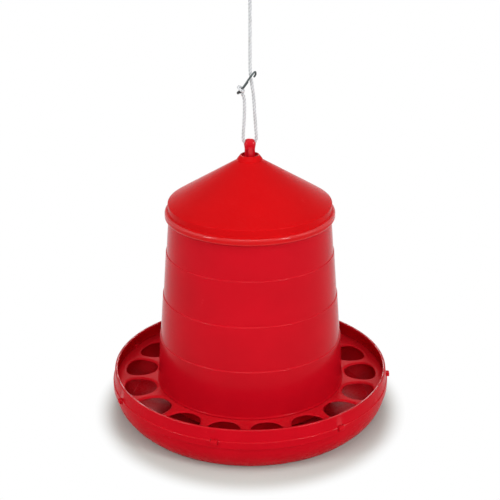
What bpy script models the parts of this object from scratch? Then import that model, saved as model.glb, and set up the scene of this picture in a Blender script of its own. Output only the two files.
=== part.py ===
"""Hanging gravity feeder for poultry: pan, slotted ring, hopper, lid, hanger rod and cord.

Metres, +Z up, the pan's foot at z = 0 and the rod's axis on the Z axis. Heights build on each
other from the pan up: rim, ring, hopper, lid, rod, cord.
"""

import math

import bmesh
import bpy
import numpy as np
from mathutils import Matrix, Vector

MM = 0.001

# Fits and facets
NEIGHBOUR_GAP = 0.3 * MM      # between pieces that rest on or lock into each other
SLIDE_GAP = 0.6 * MM          # between pieces that slide past each other
EDGE = 0.6 * MM               # small chamfer on a moulded edge
TURNS = 52                    # segments of the large revolved pieces
SMALL_TURNS = 24              # segments of the small revolved pieces
WIDE_FILLET = 1.2 * MM        # a fillet at least this large gets a segment for each FILLET_ANGLE
FILLET_ANGLE = math.radians(50.0)
SHARP_ANGLE = math.radians(40.0)

# Pan
PAN_RADIUS = 193.0 * MM       # over the band round its wall
PAN_HEIGHT = 64.0 * MM
PAN_WALL = 2.8 * MM
PAN_FLOOR = 3.0 * MM
BAND_STANDOUT = 2.4 * MM      # of the band over the bowl below it
BAND_SLOPE_HEIGHT = 1.4 * MM
BAND_HEIGHT = 11.0 * MM
BAND_BELOW_RIM = 17.0 * MM    # from the rim's top to the band's top
WALL_BOW = 19.0 * MM          # how far the bowl's wall draws in down to its foot
WALL_BOW_POWER = 2.2
WALL_POINTS = 3
COLLAR_INSET = 1.1 * MM       # of the wall above the band
RIM_LEAN = 3.1 * MM           # of the rim's outer edge inside the band
RIM_WIDTH = 3.7 * MM
RIM_FILLET = 1.5 * MM
RIM_DEPTH = 4.0 * MM
RIM_BLEND = 3.0 * MM
FOOT_WIDTH = 17.6 * MM
FOOT_HEIGHT = 2.0 * MM        # of the foot ring under the floor
CONE_FOOT_RADIUS = 75.0 * MM
CONE_FILLET = 12.0 * MM
BOSS_WALL = 5.5 * MM
BOSS_HEIGHT = 18.0 * MM
BOSS_BELOW_RING = 2.2 * MM
BOSS_SLEEVE = 7.0 * MM        # free length of the boss under the cone

# Ring
RING_BELOW_RIM = 19.8 * MM
RING_PLATE = 2.4 * MM
RING_COLLAR_WALL = 2.2 * MM
RING_COLLAR_DEPTH = 8.0 * MM
OPENING_COUNT = 17
OPENING_INNER_MARGIN = 13.3 * MM  # from the collar's bore to the openings
OPENING_OUTER_MARGIN = 11.6 * MM  # from the openings to the ring's edge
RIB_WIDTH = 11.0 * MM
OPENING_POWER = 2.4
OPENING_FLARE = 0.10          # share by which an opening widens outwards
OPENING_POINTS = 16
FIRST_RIB = math.radians(-92.5)
LUG_COUNT = 7
FIRST_LUG = math.radians(-1.0)
LUG_WIDTH = 9.0 * MM
LUG_HEIGHT = 5.5 * MM
LUG_STANDOUT = 3.6 * MM
LUG_ROOT = 3.0 * MM
LUG_RISE = 1.2 * MM           # of the lugs over the plate's underside

# Hopper
HOPPER_RADIUS = 130.4 * MM    # over the foot bead
HOPPER_HEIGHT = 259.9 * MM    # from the foot's seat to the rim
HOPPER_WALL = 2.2 * MM
SPIGOT_INSET = 9.8 * MM       # of the spigot inside the foot bead
SPIGOT_DEPTH = 22.5 * MM
FOOT_BEAD_HEIGHT = 3.0 * MM
FOOT_BEAD_STANDOUT = 0.9 * MM  # over the wall above it
FOOT_BEAD_FILLET = 1.2 * MM
SHOULDER_START = 4.0 * MM     # above the seat, where the wall's inner side leaves the spigot
SHOULDER_HEIGHT = 13.5 * MM   # above the seat, where it meets the taper
FIRST_LINE = 67.1 * MM        # above the seat
LINE_PITCH = 61.85 * MM
LINE_STEP = 1.05 * MM         # how far the wall steps in at each line
STEP_SLOPE_HEIGHT = 0.8 * MM
LOW_TAPER = 0.0595            # radius lost per height below the first line
TAPER = 0.0765                # the same above it
LID_SEAT_HEIGHT = 14.0 * MM   # straight top of the hopper under the lid
RIM_THICKNESS = 2.4 * MM

# Lid
LID_WALL = 1.7 * MM
LID_FIT = 1.4 * MM            # all round between the hopper's rim and the skirt
LID_OPENING_CLEARANCE = 3.9 * MM  # round the rod's head, for the cord beside it
COLLAR_WALL = 1.1 * MM
COLLAR_SPREAD = 4.4 * MM
COLLAR_HEIGHT = 7.5 * MM
COLLAR_FOOT_HEIGHT = 1.6 * MM
CONE_SLOPE = 0.619
LID_SHOULDER_INSET = 5.4 * MM
LID_SHOULDER_FILLET = 6.0 * MM
SKIRT_DEPTH = 2.9 * MM        # from the hopper's rim down to the skirt's top edge
BEAD_DEPTH = 15.2 * MM        # from the hopper's rim down to the bead's middle
BEAD_STANDOUT = 4.3 * MM
BEAD_HALF_HEIGHT = 4.4 * MM
BEAD_FILLET = 2.2 * MM
BEAD_LIP = 3.4 * MM

# Rod
ROD_WIDTH = 13.7 * MM
ROD_RIB = 5.4 * MM
ROD_TWIST = math.radians(8.0)
ROD_SHRINK = 0.2 * MM         # of the ribs inside the round foot stretch
HEAD_STANDOUT = 21.5 * MM     # of the rod over the lid's collar
HEAD_HEIGHT = 14.5 * MM
HEAD_EXTRA_WIDTH = 1.3 * MM
HEAD_THINNING = 1.1 * MM
HEAD_ROUNDNESS = 0.62
HEAD_POINTS = 16
HEAD_SHAPE = [(0.86, 0.0), (0.92, 0.12), (0.98, 0.32), (1.04, 0.54), (0.96, 0.72), (0.74, 0.88), (0.40, 1.0)]
EYE_GAP = 0.5 * MM
FLANGE_STANDOUT = 13.15 * MM
FLANGE_THICKNESS = 4.0 * MM

# Level pin through the rod, under the hopper's bridge
PIN_ABOVE_RING = 13.4 * MM
PIN_HOLE_COUNT = 3
PIN_HOLE_PITCH = 7.5 * MM
PIN_ZONE = 24.4 * MM          # round stretch of the rod above the lowest hole
PIN_RADIUS = 2.0 * MM
PIN_TAIL = 13.0 * MM
PIN_REACH = 26.0 * MM
PIN_BEND = 5.0 * MM
PIN_BEND_POINTS = 6
PIN_DROP = 9.0 * MM

# Bridge inside the hopper
ARM_COUNT = 3
ARM_WIDTH = 9.0 * MM
ARM_HEIGHT = 10.0 * MM
ARM_RISE = 2.1 * MM           # of the arms above the hub's foot
HUB_WALL = 6.55 * MM
HUB_HEIGHT = 18.0 * MM
HUB_EDGE = 1.0 * MM
FIRST_ARM = math.radians(90.0)
POCKET_DEPTH = 8.0 * MM
POCKET_WALL = 2.4 * MM

# Cord, adjuster, knot and hook: places in millimetres, heights from the rod's top
CORD_RADIUS = 2.25 * MM
CORD_POINTS = 50
CORD_ROUTE = [
    (-10.4, 0.0, 61.6), (-8.0, 0.0, 57.0), (-6.9, 0.0, 50.5), (-6.8, 0.0, 39.0), (-7.4, -0.4, 21.0),
    (-8.3, -1.0, 9.0), (-8.6, -1.2, 0.8), (-7.95, -1.1, -2.5), (-6.08, -0.85, -5.3), (-3.29, -0.46, -7.15),
    (0.0, 0.0, -7.8), (3.29, 0.46, -7.15), (6.08, 0.85, -5.3), (7.95, 1.1, -2.5), (8.6, 1.2, 0.8),
    (8.2, 1.0, 9.0), (7.0, 0.4, 26.0), (5.8, 0.0, 45.0), (4.5, 0.0, 61.0), (2.6, 0.0, 74.0),
    (1.0, 0.0, 85.0), (0.6, 0.0, 97.0), (0.6, 0.0, 129.0), (0.6, 0.0, 169.0), (0.6, 0.0, 199.0),
]
WIRE_RADIUS = 1.25 * MM
WIRE_POINTS = 38
ADJUSTER_ROUTE = [
    (5.2, 5.0, 80.5), (7.6, 4.7, 84.2), (7.0, 2.4, 88.4), (3.6, -2.8, 86.2), (-0.4, -4.6, 81.4),
    (-4.2, -4.7, 75.8), (-8.2, -4.3, 70.0), (-12.2, -3.6, 65.4), (-15.3, -1.0, 62.2), (-15.0, 2.6, 59.8),
    (-12.0, 4.7, 61.6), (-8.4, 4.9, 66.2), (-5.0, 4.9, 70.8), (-2.0, 5.0, 75.0),
]
KNOT_CENTRE = (-11.2, -3.9, 67.4)
KNOT_RADIUS = 4.2 * MM
KNOT_CORD_RADIUS = 2.0 * MM
KNOT_LEG = 6                  # the adjuster's leg that the knot goes round
LOOP_RADIUS = 8.0 * MM
LOOP_NECK = 13.0 * MM
LOOP_NECK_RADIUS = 4.6 * MM
LOOP_SINK = 1.0 * MM          # of the loop into its neck
HOOK_WIRE_RADIUS = 2.2 * MM
HOOK_RADIUS = 9.0 * MM
HOOK_ARC_START = -200.0       # degrees
HOOK_ARC_END = 60.0
HOOK_ARC_POINTS = 20
HOOK_CRANK = (0.6 * MM, 4.0 * MM)
HOOK_SHANK = 20.45 * MM

# Heights and radii that follow from the sizes above
ROD_RADIUS = ROD_WIDTH / 2.0
ROD_BORE = ROD_RADIUS + SLIDE_GAP
BAND_TOP = PAN_HEIGHT - BAND_BELOW_RIM
BOWL_TOP = BAND_TOP - BAND_HEIGHT
BOWL_RADIUS = PAN_RADIUS - BAND_STANDOUT
FLOOR_TOP = FOOT_HEIGHT + PAN_FLOOR
RING_TOP = PAN_HEIGHT - RING_BELOW_RIM
RING_BOTTOM = RING_TOP - RING_PLATE
RING_EDGE = PAN_RADIUS - PAN_WALL - SLIDE_GAP
LEDGE_TOP = RING_BOTTOM - NEIGHBOUR_GAP
LUG_CENTRE = RING_BOTTOM + LUG_RISE + LUG_HEIGHT / 2.0
BOSS_RADIUS = ROD_BORE + BOSS_WALL
BOSS_TOP = RING_TOP - BOSS_BELOW_RING
BOSS_BOTTOM = BOSS_TOP - BOSS_HEIGHT
FLANGE_TOP = BOSS_BOTTOM - NEIGHBOUR_GAP
SEAT = RING_TOP + NEIGHBOUR_GAP
SPIGOT_RADIUS = HOPPER_RADIUS - SPIGOT_INSET
RING_BORE = SPIGOT_RADIUS + SLIDE_GAP
OPENING_INNER_RADIUS = RING_BORE + OPENING_INNER_MARGIN
OPENING_OUTER_RADIUS = RING_EDGE - OPENING_OUTER_MARGIN
HOPPER_TOP = SEAT + HOPPER_HEIGHT
LID_SEAT = HOPPER_TOP - LID_SEAT_HEIGHT
HEAD_WIDTH = ROD_WIDTH + HEAD_EXTRA_WIDTH
HEAD_DEPTH = ROD_WIDTH - HEAD_THINNING
LID_OPENING_RADIUS = HEAD_WIDTH / 2.0 + LID_OPENING_CLEARANCE
COLLAR_TOP_RADIUS = LID_OPENING_RADIUS + COLLAR_WALL
COLLAR_FOOT_RADIUS = COLLAR_TOP_RADIUS + COLLAR_SPREAD
PIN_HEIGHT = RING_TOP + PIN_ABOVE_RING
HUB_BOTTOM = PIN_HEIGHT + PIN_RADIUS + NEIGHBOUR_GAP
HUB_RADIUS = ROD_BORE + HUB_WALL
ARM_BOTTOM = HUB_BOTTOM + ARM_RISE


def hopper_outline():
    """The hopper's outer wall above its foot bead, as (radius, height): tapered bands with a step at each line."""
    lines = [SEAT + FIRST_LINE]
    while lines[-1] + LINE_PITCH < LID_SEAT - LINE_STEP:
        lines.append(lines[-1] + LINE_PITCH)
    outline = [(HOPPER_RADIUS - FOOT_BEAD_STANDOUT, SEAT + FOOT_BEAD_HEIGHT)]
    taper = LOW_TAPER
    for line in [*lines, LID_SEAT]:
        radius, height = outline[-1]
        radius -= (line - height) * taper
        outline += [(radius, line), (radius - LINE_STEP, line + STEP_SLOPE_HEIGHT)]
        taper = TAPER
    radius, height = outline[-1]
    outline.append((radius - (HOPPER_TOP - height) * taper, HOPPER_TOP))
    return outline


HOPPER_OUTLINE = hopper_outline()
HOPPER_TOP_RADIUS = HOPPER_OUTLINE[-1][0]
SKIRT_RADIUS = HOPPER_TOP_RADIUS + LID_FIT + LID_WALL


def cone_height(radius):
    """The lid's outer surface over a radius, its inner side resting on the hopper's rim."""
    rest = (NEIGHBOUR_GAP + LID_WALL) * math.hypot(1.0, CONE_SLOPE)
    return HOPPER_TOP + rest + CONE_SLOPE * (HOPPER_TOP_RADIUS - EDGE - radius)


CONE_TOP = cone_height(COLLAR_FOOT_RADIUS)
COLLAR_TOP = CONE_TOP + COLLAR_HEIGHT
ROD_TOP = COLLAR_TOP + HEAD_STANDOUT
HEAD_BOTTOM = ROD_TOP - HEAD_HEIGHT


def hopper_radius(height):
    """The hopper's outer radius at a height above its foot bead."""
    for (foot, low), (head, high) in zip(HOPPER_OUTLINE, HOPPER_OUTLINE[1:]):
        if low <= height <= high:
            return foot + (head - foot) * (height - low) / (high - low)
    return HOPPER_RADIUS


def bowl_wall(radius, foot):
    """One side of the pan's bowed wall from its foot height up to the band, as (radius, height)."""
    points = []
    for i in range(WALL_POINTS + 1):
        rise = (i / WALL_POINTS) ** 2
        inset = WALL_BOW * (1.0 - rise) ** WALL_BOW_POWER
        points.append((radius - inset, foot + (BOWL_TOP - foot) * rise))
    return points


def polar(radius, angle):
    """A point in plan."""
    return radius * math.cos(angle), radius * math.sin(angle)


def filleted(corners):
    """A closed outline through corners (x, y) or (x, y, fillet), each fillet kept inside its two sides."""
    outline = []
    for before, corner, after in zip(corners[-1:] + corners[:-1], corners, corners[1:] + corners[:1]):
        here = Vector(corner[:2])
        if len(corner) == 2:
            outline.append(tuple(here))
            continue
        back, ahead = Vector(before[:2]) - here, Vector(after[:2]) - here
        half = back.angle(ahead) / 2.0
        reach = min(corner[2] / math.tan(half), 0.45 * back.length, 0.45 * ahead.length)
        fillet = reach * math.tan(half)
        middle = (back.normalized() + ahead.normalized()).normalized()
        centre = here + middle * fillet / math.sin(half)
        turn = math.pi - 2.0 * half
        steps = max(1, round(turn / FILLET_ANGLE)) if corner[2] >= WIDE_FILLET else 1
        start = here + back.normalized() * reach - centre
        side = 1.0 if back.x * ahead.y - back.y * ahead.x < 0.0 else -1.0
        for i in range(steps + 1):
            spin = Matrix.Rotation(side * turn * i / steps, 2)
            outline.append(tuple(centre + spin @ start))
    return outline


def material(name, colour, roughness, metallic=0.0):
    """A Principled material of one colour."""
    made = bpy.data.materials.new(name)
    made.use_nodes = True
    shader = made.node_tree.nodes["Principled BSDF"]
    shader.inputs["Base Color"].default_value = (*colour, 1.0)
    shader.inputs["Roughness"].default_value = roughness
    shader.inputs["Metallic"].default_value = metallic
    made.diffuse_color = (*colour, 1.0)
    return made


def add_object(name, mesh, finish):
    """An object of this mesh with one material, in the scene."""
    made = bpy.data.objects.new(name, mesh)
    bpy.context.scene.collection.objects.link(made)
    mesh.materials.clear()
    mesh.materials.append(finish)
    return made


def mesh_from_bmesh(name, bm):
    """A smooth-shaded mesh of this bmesh, its faces turned outwards and its sharp edges kept."""
    bmesh.ops.recalc_face_normals(bm, faces=bm.faces[:])
    mesh = bpy.data.meshes.new(name)
    bm.to_mesh(mesh)
    bm.free()
    mesh.shade_smooth()
    mesh.set_sharp_from_angle(angle=SHARP_ANGLE)
    return mesh


def skin(bm, rings, closed):
    """Quads between neighbouring rings of vertices, and from the last to the first where closed."""
    pairs = list(zip(rings, rings[1:] + (rings[:1] if closed else [])))
    for here, after in pairs:
        for i in range(len(here)):
            j = (i + 1) % len(here)
            corners = list(dict.fromkeys([here[i], here[j], after[j], after[i]]))
            if len(corners) >= 3:
                bm.faces.new(corners)


def revolved(name, profile, finish, turns=TURNS):
    """A closed (radius, height) profile turned about the Z axis; a radius of 0 closes on the axis."""
    bm = bmesh.new()
    rings = []
    for radius, height in profile:
        if radius == 0.0:
            rings.append([bm.verts.new((0.0, 0.0, height))] * turns)
            continue
        angles = [2.0 * math.pi * i / turns for i in range(turns)]
        rings.append([bm.verts.new((*polar(radius, angle), height)) for angle in angles])
    skin(bm, rings, closed=profile[0][0] != 0.0)
    return add_object(name, mesh_from_bmesh(name, bm), finish)


def lofted(name, outlines, finish):
    """A closed solid through outlines of equal counts, the first at the bottom."""
    bm = bmesh.new()
    rings = [[bm.verts.new(point) for point in outline] for outline in outlines]
    bm.faces.new(rings[0][::-1])
    bm.faces.new(rings[-1])
    skin(bm, rings, closed=False)
    return add_object(name, mesh_from_bmesh(name, bm), finish)


def box(name, size, centre, finish, turn=0.0):
    """A box of this size, turned about the Z axis with its centre."""
    bm = bmesh.new()
    bmesh.ops.create_cube(bm, size=1.0)
    place = Matrix.Rotation(turn, 4, "Z") @ Matrix.Translation(centre) @ Matrix.Diagonal((*size, 1.0))
    bmesh.ops.transform(bm, matrix=place, verts=bm.verts[:])
    return add_object(name, mesh_from_bmesh(name, bm), finish)


def bore(name, radius, length, place, finish):
    """A round bar along the local Z axis of a placement."""
    bm = bmesh.new()
    bmesh.ops.create_cone(bm, cap_ends=True, segments=16, radius1=radius, radius2=radius, depth=length)
    bmesh.ops.transform(bm, matrix=place, verts=bm.verts[:])
    return add_object(name, mesh_from_bmesh(name, bm), finish)


def group(name, pieces, finish):
    """Solids that don't touch each other, as one object to cut or join with."""
    bm = bmesh.new()
    for piece in pieces:
        bm.from_mesh(piece.data)
        bpy.data.objects.remove(piece)
    return add_object(name, mesh_from_bmesh(name, bm), finish)


def boolean(target, other, operation):
    """Applies an exact Boolean and removes the other object."""
    modifier = target.modifiers.new(operation, "BOOLEAN")
    modifier.object = other
    modifier.operation = operation
    modifier.solver = "EXACT"
    other.hide_render = True
    other.display_type = "WIRE"
    evaluated = target.evaluated_get(bpy.context.evaluated_depsgraph_get())
    mesh = bpy.data.meshes.new_from_object(evaluated)
    target.modifiers.remove(modifier)
    target.data = mesh
    bpy.data.objects.remove(other)
    mesh.set_sharp_from_angle(angle=SHARP_ANGLE)
    return target


def tube(name, points, radius, finish):
    """A round wire or cord through these points."""
    curve = bpy.data.curves.new(name, "CURVE")
    curve.dimensions = "3D"
    curve.bevel_depth = radius
    curve.bevel_resolution = 2
    curve.use_fill_caps = True
    spline = curve.splines.new("POLY")
    spline.points.add(len(points) - 1)
    for point, place in zip(spline.points, points):
        point.co = (*place, 1.0)
    made = bpy.data.objects.new(name, curve)
    curve.materials.append(finish)
    bpy.context.scene.collection.objects.link(made)
    return made


def solid_tube(name, points, radius, finish):
    """A round wire as a mesh, to cut with."""
    wire = tube(name, points, radius, finish)
    mesh = bpy.data.meshes.new_from_object(wire.evaluated_get(bpy.context.evaluated_depsgraph_get()))
    bpy.data.objects.remove(wire)
    bm = bmesh.new()
    bm.from_mesh(mesh)
    bmesh.ops.remove_doubles(bm, verts=bm.verts[:], dist=1e-6)
    return add_object(name, mesh_from_bmesh(name, bm), finish)


def above_rod(place):
    """A place in millimetres, its height from the rod's top, in the model's frame."""
    return Vector(place) * MM + Vector((0.0, 0.0, ROD_TOP))


def smooth_route(route, count):
    """Evenly spaced points on a Catmull-Rom curve through a route above the rod's top."""
    knots = np.array([above_rod(place) for place in route])
    ends = np.vstack([2 * knots[0] - knots[1], knots, 2 * knots[-1] - knots[-2]])
    dense = []
    for a, b, c, d in zip(ends, ends[1:], ends[2:], ends[3:]):
        for t in np.linspace(0.0, 1.0, 24, endpoint=False):
            dense.append(0.5 * (2 * b + (c - a) * t + (2 * a - 5 * b + 4 * c - d) * t**2
                                + (3 * b - a - 3 * c + d) * t**3))
    dense = np.vstack([dense, knots[-1]])
    along = np.concatenate([[0.0], np.cumsum(np.linalg.norm(np.diff(dense, axis=0), axis=1))])
    wanted = np.linspace(0.0, along[-1], count)
    return [Vector([float(np.interp(w, along, dense[:, k])) for k in range(3)]) for w in wanted]


def arc(centre, radius, start, end, count):
    """Points of an upright arc in the XZ plane, angles in degrees from +X."""
    angles = [math.radians(start + (end - start) * i / (count - 1)) for i in range(count)]
    return [Vector(centre) + radius * Vector((math.cos(a), 0.0, math.sin(a))) for a in angles]


def around(count, first):
    """The angles of equally spaced features."""
    return [first + 2.0 * math.pi * k / count for k in range(count)]


def build_pan(finish):
    """The pan: bowed bowl, band with the ring's ledge inside it, rim, centre cone and rod boss."""
    outer = bowl_wall(BOWL_RADIUS, 0.0)
    inner = bowl_wall(BOWL_RADIUS - PAN_WALL, FLOOR_TOP)
    foot_inner = outer[0][0] - FOOT_WIDTH
    wall_inner = PAN_RADIUS - PAN_WALL
    rim = PAN_RADIUS - RIM_LEAN
    cone_top = BOSS_BOTTOM + BOSS_SLEEVE
    profile = filleted([
        (foot_inner, 0.0),
        *outer,
        (PAN_RADIUS, BOWL_TOP + BAND_SLOPE_HEIGHT),
        (PAN_RADIUS, BAND_TOP),
        (PAN_RADIUS - COLLAR_INSET, BAND_TOP + EDGE),
        (rim, PAN_HEIGHT, RIM_FILLET),
        (rim - RIM_WIDTH, PAN_HEIGHT, RIM_FILLET),
        (rim - RIM_WIDTH, PAN_HEIGHT - RIM_DEPTH),
        (rim - PAN_WALL, PAN_HEIGHT - RIM_DEPTH - RIM_BLEND),
        (wall_inner, BAND_TOP),
        (wall_inner, LEDGE_TOP),
        (BOWL_RADIUS - PAN_WALL, LEDGE_TOP),
        *reversed(inner),
        (CONE_FOOT_RADIUS, FLOOR_TOP, CONE_FILLET),
        (BOSS_RADIUS, BOSS_TOP - PAN_FLOOR),
        (BOSS_RADIUS, BOSS_TOP, EDGE),
        (ROD_BORE, BOSS_TOP),
        (ROD_BORE, BOSS_BOTTOM),
        (BOSS_RADIUS, BOSS_BOTTOM),
        (BOSS_RADIUS, cone_top),
        (CONE_FOOT_RADIUS - PAN_FLOOR, FOOT_HEIGHT, CONE_FILLET),
        (foot_inner - EDGE, FOOT_HEIGHT),
    ])
    pan = revolved("feed_pan", profile, finish)
    window = (4.0 * PAN_WALL, LUG_WIDTH + 2 * SLIDE_GAP, LUG_HEIGHT + 2 * SLIDE_GAP)
    windows = [
        box("window", window, (PAN_RADIUS, 0.0, LUG_CENTRE), finish, angle)
        for angle in around(LUG_COUNT, FIRST_LUG)
    ]
    return boolean(pan, group("windows", windows, finish), "DIFFERENCE")


def opening_outline(angle, height, grow):
    """The rounded outline of one feed opening at a height, about the angle of its middle."""
    middle = (OPENING_INNER_RADIUS + OPENING_OUTER_RADIUS) / 2.0
    reach = (OPENING_OUTER_RADIUS - OPENING_INNER_RADIUS) / 2.0
    half_pitch = math.pi * middle / OPENING_COUNT
    points = []
    for i in range(OPENING_POINTS):
        t = 2.0 * math.pi * i / OPENING_POINTS
        u = math.copysign(abs(math.cos(t)) ** (2.0 / OPENING_POWER), math.cos(t))
        v = math.copysign(abs(math.sin(t)) ** (2.0 / OPENING_POWER), math.sin(t))
        half_width = (half_pitch - RIB_WIDTH / 2.0) * (1.0 + OPENING_FLARE * u) + grow
        points.append((*polar(middle + (reach + grow) * u, angle + half_width * v / middle), height))
    return points


def build_ring(finish):
    """The slotted ring: collar round the spigot, plate with chamfered openings, and snap lugs."""
    profile = filleted([
        (RING_BORE, RING_TOP, EDGE),
        (RING_EDGE, RING_TOP, EDGE),
        (RING_EDGE, RING_BOTTOM),
        (RING_BORE + RING_COLLAR_WALL, RING_BOTTOM),
        (RING_BORE + RING_COLLAR_WALL, RING_TOP - RING_COLLAR_DEPTH),
        (RING_BORE, RING_TOP - RING_COLLAR_DEPTH),
    ])
    ring = revolved("anti_waste_ring", profile, finish)
    sizes = ((RING_BOTTOM - RING_PLATE, 0.0), (RING_TOP - EDGE, 0.0), (RING_TOP + EDGE, 2.0 * EDGE))
    half_step = math.pi / OPENING_COUNT
    cutters = [
        lofted("opening", [opening_outline(angle, height, grow) for height, grow in sizes], finish)
        for angle in around(OPENING_COUNT, FIRST_RIB + half_step)
    ]
    ring = boolean(ring, group("openings", cutters, finish), "DIFFERENCE")
    reach = PAN_RADIUS + LUG_STANDOUT - RING_EDGE + LUG_ROOT
    centre = (PAN_RADIUS + LUG_STANDOUT - reach / 2.0, 0.0, LUG_CENTRE)
    lugs = [
        box("lug", (reach, LUG_WIDTH, LUG_HEIGHT), centre, finish, angle)
        for angle in around(LUG_COUNT, FIRST_LUG)
    ]
    return boolean(ring, group("lugs", lugs, finish), "UNION")


def build_hopper(finish):
    """The hopper: spigot, foot bead, stepped bands and three pockets for the bridge's arms."""
    shoulder = SEAT + SHOULDER_HEIGHT
    lines = [height for _, height in HOPPER_OUTLINE[1:-1:2]]
    profile = filleted([
        (SPIGOT_RADIUS - HOPPER_WALL, SEAT - SPIGOT_DEPTH),
        (SPIGOT_RADIUS, SEAT - SPIGOT_DEPTH),
        (SPIGOT_RADIUS, SEAT),
        (HOPPER_RADIUS, SEAT, EDGE),
        (HOPPER_RADIUS, SEAT + FOOT_BEAD_HEIGHT, FOOT_BEAD_FILLET),
        *HOPPER_OUTLINE[:-1],
        (HOPPER_TOP_RADIUS, HOPPER_TOP, EDGE),
        (HOPPER_TOP_RADIUS - RIM_THICKNESS, HOPPER_TOP),
        (hopper_radius(lines[-2]) - HOPPER_WALL, lines[-2]),
        (hopper_radius(lines[0]) - HOPPER_WALL, lines[0]),
        (hopper_radius(shoulder) - HOPPER_WALL, shoulder),
        (SPIGOT_RADIUS - HOPPER_WALL, SEAT + SHOULDER_START),
    ])
    hopper = revolved("feed_hopper", profile, finish)
    width = ARM_WIDTH + 2 * (SLIDE_GAP + POCKET_WALL)
    roof = ARM_BOTTOM + ARM_HEIGHT + NEIGHBOUR_GAP
    back = hopper_radius(roof) - HOPPER_WALL
    block = (POCKET_DEPTH + HOPPER_WALL / 2.0, width, ARM_HEIGHT + NEIGHBOUR_GAP + POCKET_WALL)
    slot = (2.0 * POCKET_DEPTH, ARM_WIDTH + 2 * SLIDE_GAP, 3.0 * ARM_HEIGHT)
    pockets = []
    for angle in around(ARM_COUNT, FIRST_ARM):
        centre = (back - POCKET_DEPTH + block[0] / 2.0, 0.0, ARM_BOTTOM + block[2] / 2.0)
        pocket = box("pocket", block, centre, finish, angle)
        gap = (back - SLIDE_GAP - slot[0] / 2.0, 0.0, roof - slot[2] / 2.0)
        pockets.append(boolean(pocket, box("slot", slot, gap, finish, angle), "DIFFERENCE"))
    return boolean(hopper, group("pockets", pockets, finish), "UNION")


def build_bridge(finish):
    """Three arms and a hub that slides on the rod."""
    profile = [
        (ROD_BORE, HUB_BOTTOM),
        (HUB_RADIUS - HUB_EDGE, HUB_BOTTOM),
        (HUB_RADIUS, HUB_BOTTOM + HUB_EDGE),
        (HUB_RADIUS, HUB_BOTTOM + HUB_HEIGHT - HUB_EDGE),
        (HUB_RADIUS - HUB_EDGE, HUB_BOTTOM + HUB_HEIGHT),
        (ROD_BORE, HUB_BOTTOM + HUB_HEIGHT),
    ]
    bridge = revolved("hopper_bridge", profile, finish, SMALL_TURNS)
    start = HUB_RADIUS - HUB_WALL / 2.0
    end = hopper_radius(ARM_BOTTOM + ARM_HEIGHT) - HOPPER_WALL - 2.0 * SLIDE_GAP - NEIGHBOUR_GAP
    size = (end - start, ARM_WIDTH, ARM_HEIGHT)
    centre = ((start + end) / 2.0, 0.0, ARM_BOTTOM + ARM_HEIGHT / 2.0)
    arms = [box("arm", size, centre, finish, angle) for angle in around(ARM_COUNT, FIRST_ARM)]
    return boolean(bridge, group("arms", arms, finish), "UNION")


def build_lid(finish):
    """The lid: collar, cone, rounded shoulder, skirt and rolled bead, with an even wall."""
    slant = LID_WALL * math.hypot(1.0, CONE_SLOPE)
    shoulder = SKIRT_RADIUS - LID_SHOULDER_INSET
    skirt_inner = SKIRT_RADIUS - LID_WALL
    rim_clear = HOPPER_TOP_RADIUS + LID_FIT / 2.0
    skirt_top = HOPPER_TOP - SKIRT_DEPTH
    bead = HOPPER_TOP - BEAD_DEPTH
    bead_radius = SKIRT_RADIUS + BEAD_STANDOUT
    profile = filleted([
        (LID_OPENING_RADIUS, COLLAR_TOP, EDGE),
        (COLLAR_TOP_RADIUS, COLLAR_TOP, EDGE),
        (COLLAR_FOOT_RADIUS, CONE_TOP + COLLAR_FOOT_HEIGHT),
        (COLLAR_FOOT_RADIUS, CONE_TOP),
        (shoulder, cone_height(shoulder)),
        (SKIRT_RADIUS, skirt_top + LID_SHOULDER_INSET / 2.0, LID_SHOULDER_FILLET),
        (SKIRT_RADIUS, bead + BEAD_HALF_HEIGHT + EDGE),
        (bead_radius, bead + BEAD_HALF_HEIGHT / 2.0, BEAD_FILLET),
        (bead_radius, bead - BEAD_HALF_HEIGHT, BEAD_FILLET),
        (bead_radius - BEAD_LIP, bead - BEAD_HALF_HEIGHT, EDGE),
        (bead_radius - BEAD_LIP, bead),
        (skirt_inner, bead + BEAD_HALF_HEIGHT - EDGE),
        (skirt_inner, skirt_top - LID_WALL),
        (rim_clear, cone_height(rim_clear) - slant),
        (COLLAR_FOOT_RADIUS, CONE_TOP - slant),
        (LID_OPENING_RADIUS, CONE_TOP - LID_WALL / 2.0),
    ])
    return revolved("hopper_lid", profile, finish)


def cross_outline(height):
    """The plan of the cross-shaped rod at a height."""
    w, r = (ROD_WIDTH - ROD_SHRINK) / 2.0, ROD_RIB / 2.0
    corners = [(w, -r), (w, r), (r, r), (r, w), (-r, w), (-r, r),
               (-w, r), (-w, -r), (-r, -r), (-r, -w), (r, -w), (r, -r)]
    spin = Matrix.Rotation(ROD_TWIST, 3, "Z")
    return [spin @ Vector((x, y, height)) for x, y in corners]


def head_outline(scale, rise):
    """One ring of the rod's head, a rounded block in plan, at a share of its height."""
    spin = Matrix.Rotation(ROD_TWIST, 3, "Z")
    ring = []
    for i in range(HEAD_POINTS):
        t = 2.0 * math.pi * (i + 0.5) / HEAD_POINTS
        u = math.copysign(abs(math.cos(t)) ** HEAD_ROUNDNESS, math.cos(t)) * HEAD_WIDTH / 2.0
        v = math.copysign(abs(math.sin(t)) ** HEAD_ROUNDNESS, math.sin(t)) * HEAD_DEPTH / 2.0
        ring.append(spin @ Vector((u * scale, v * scale, HEAD_BOTTOM + HEAD_HEIGHT * rise)))
    return ring


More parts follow.
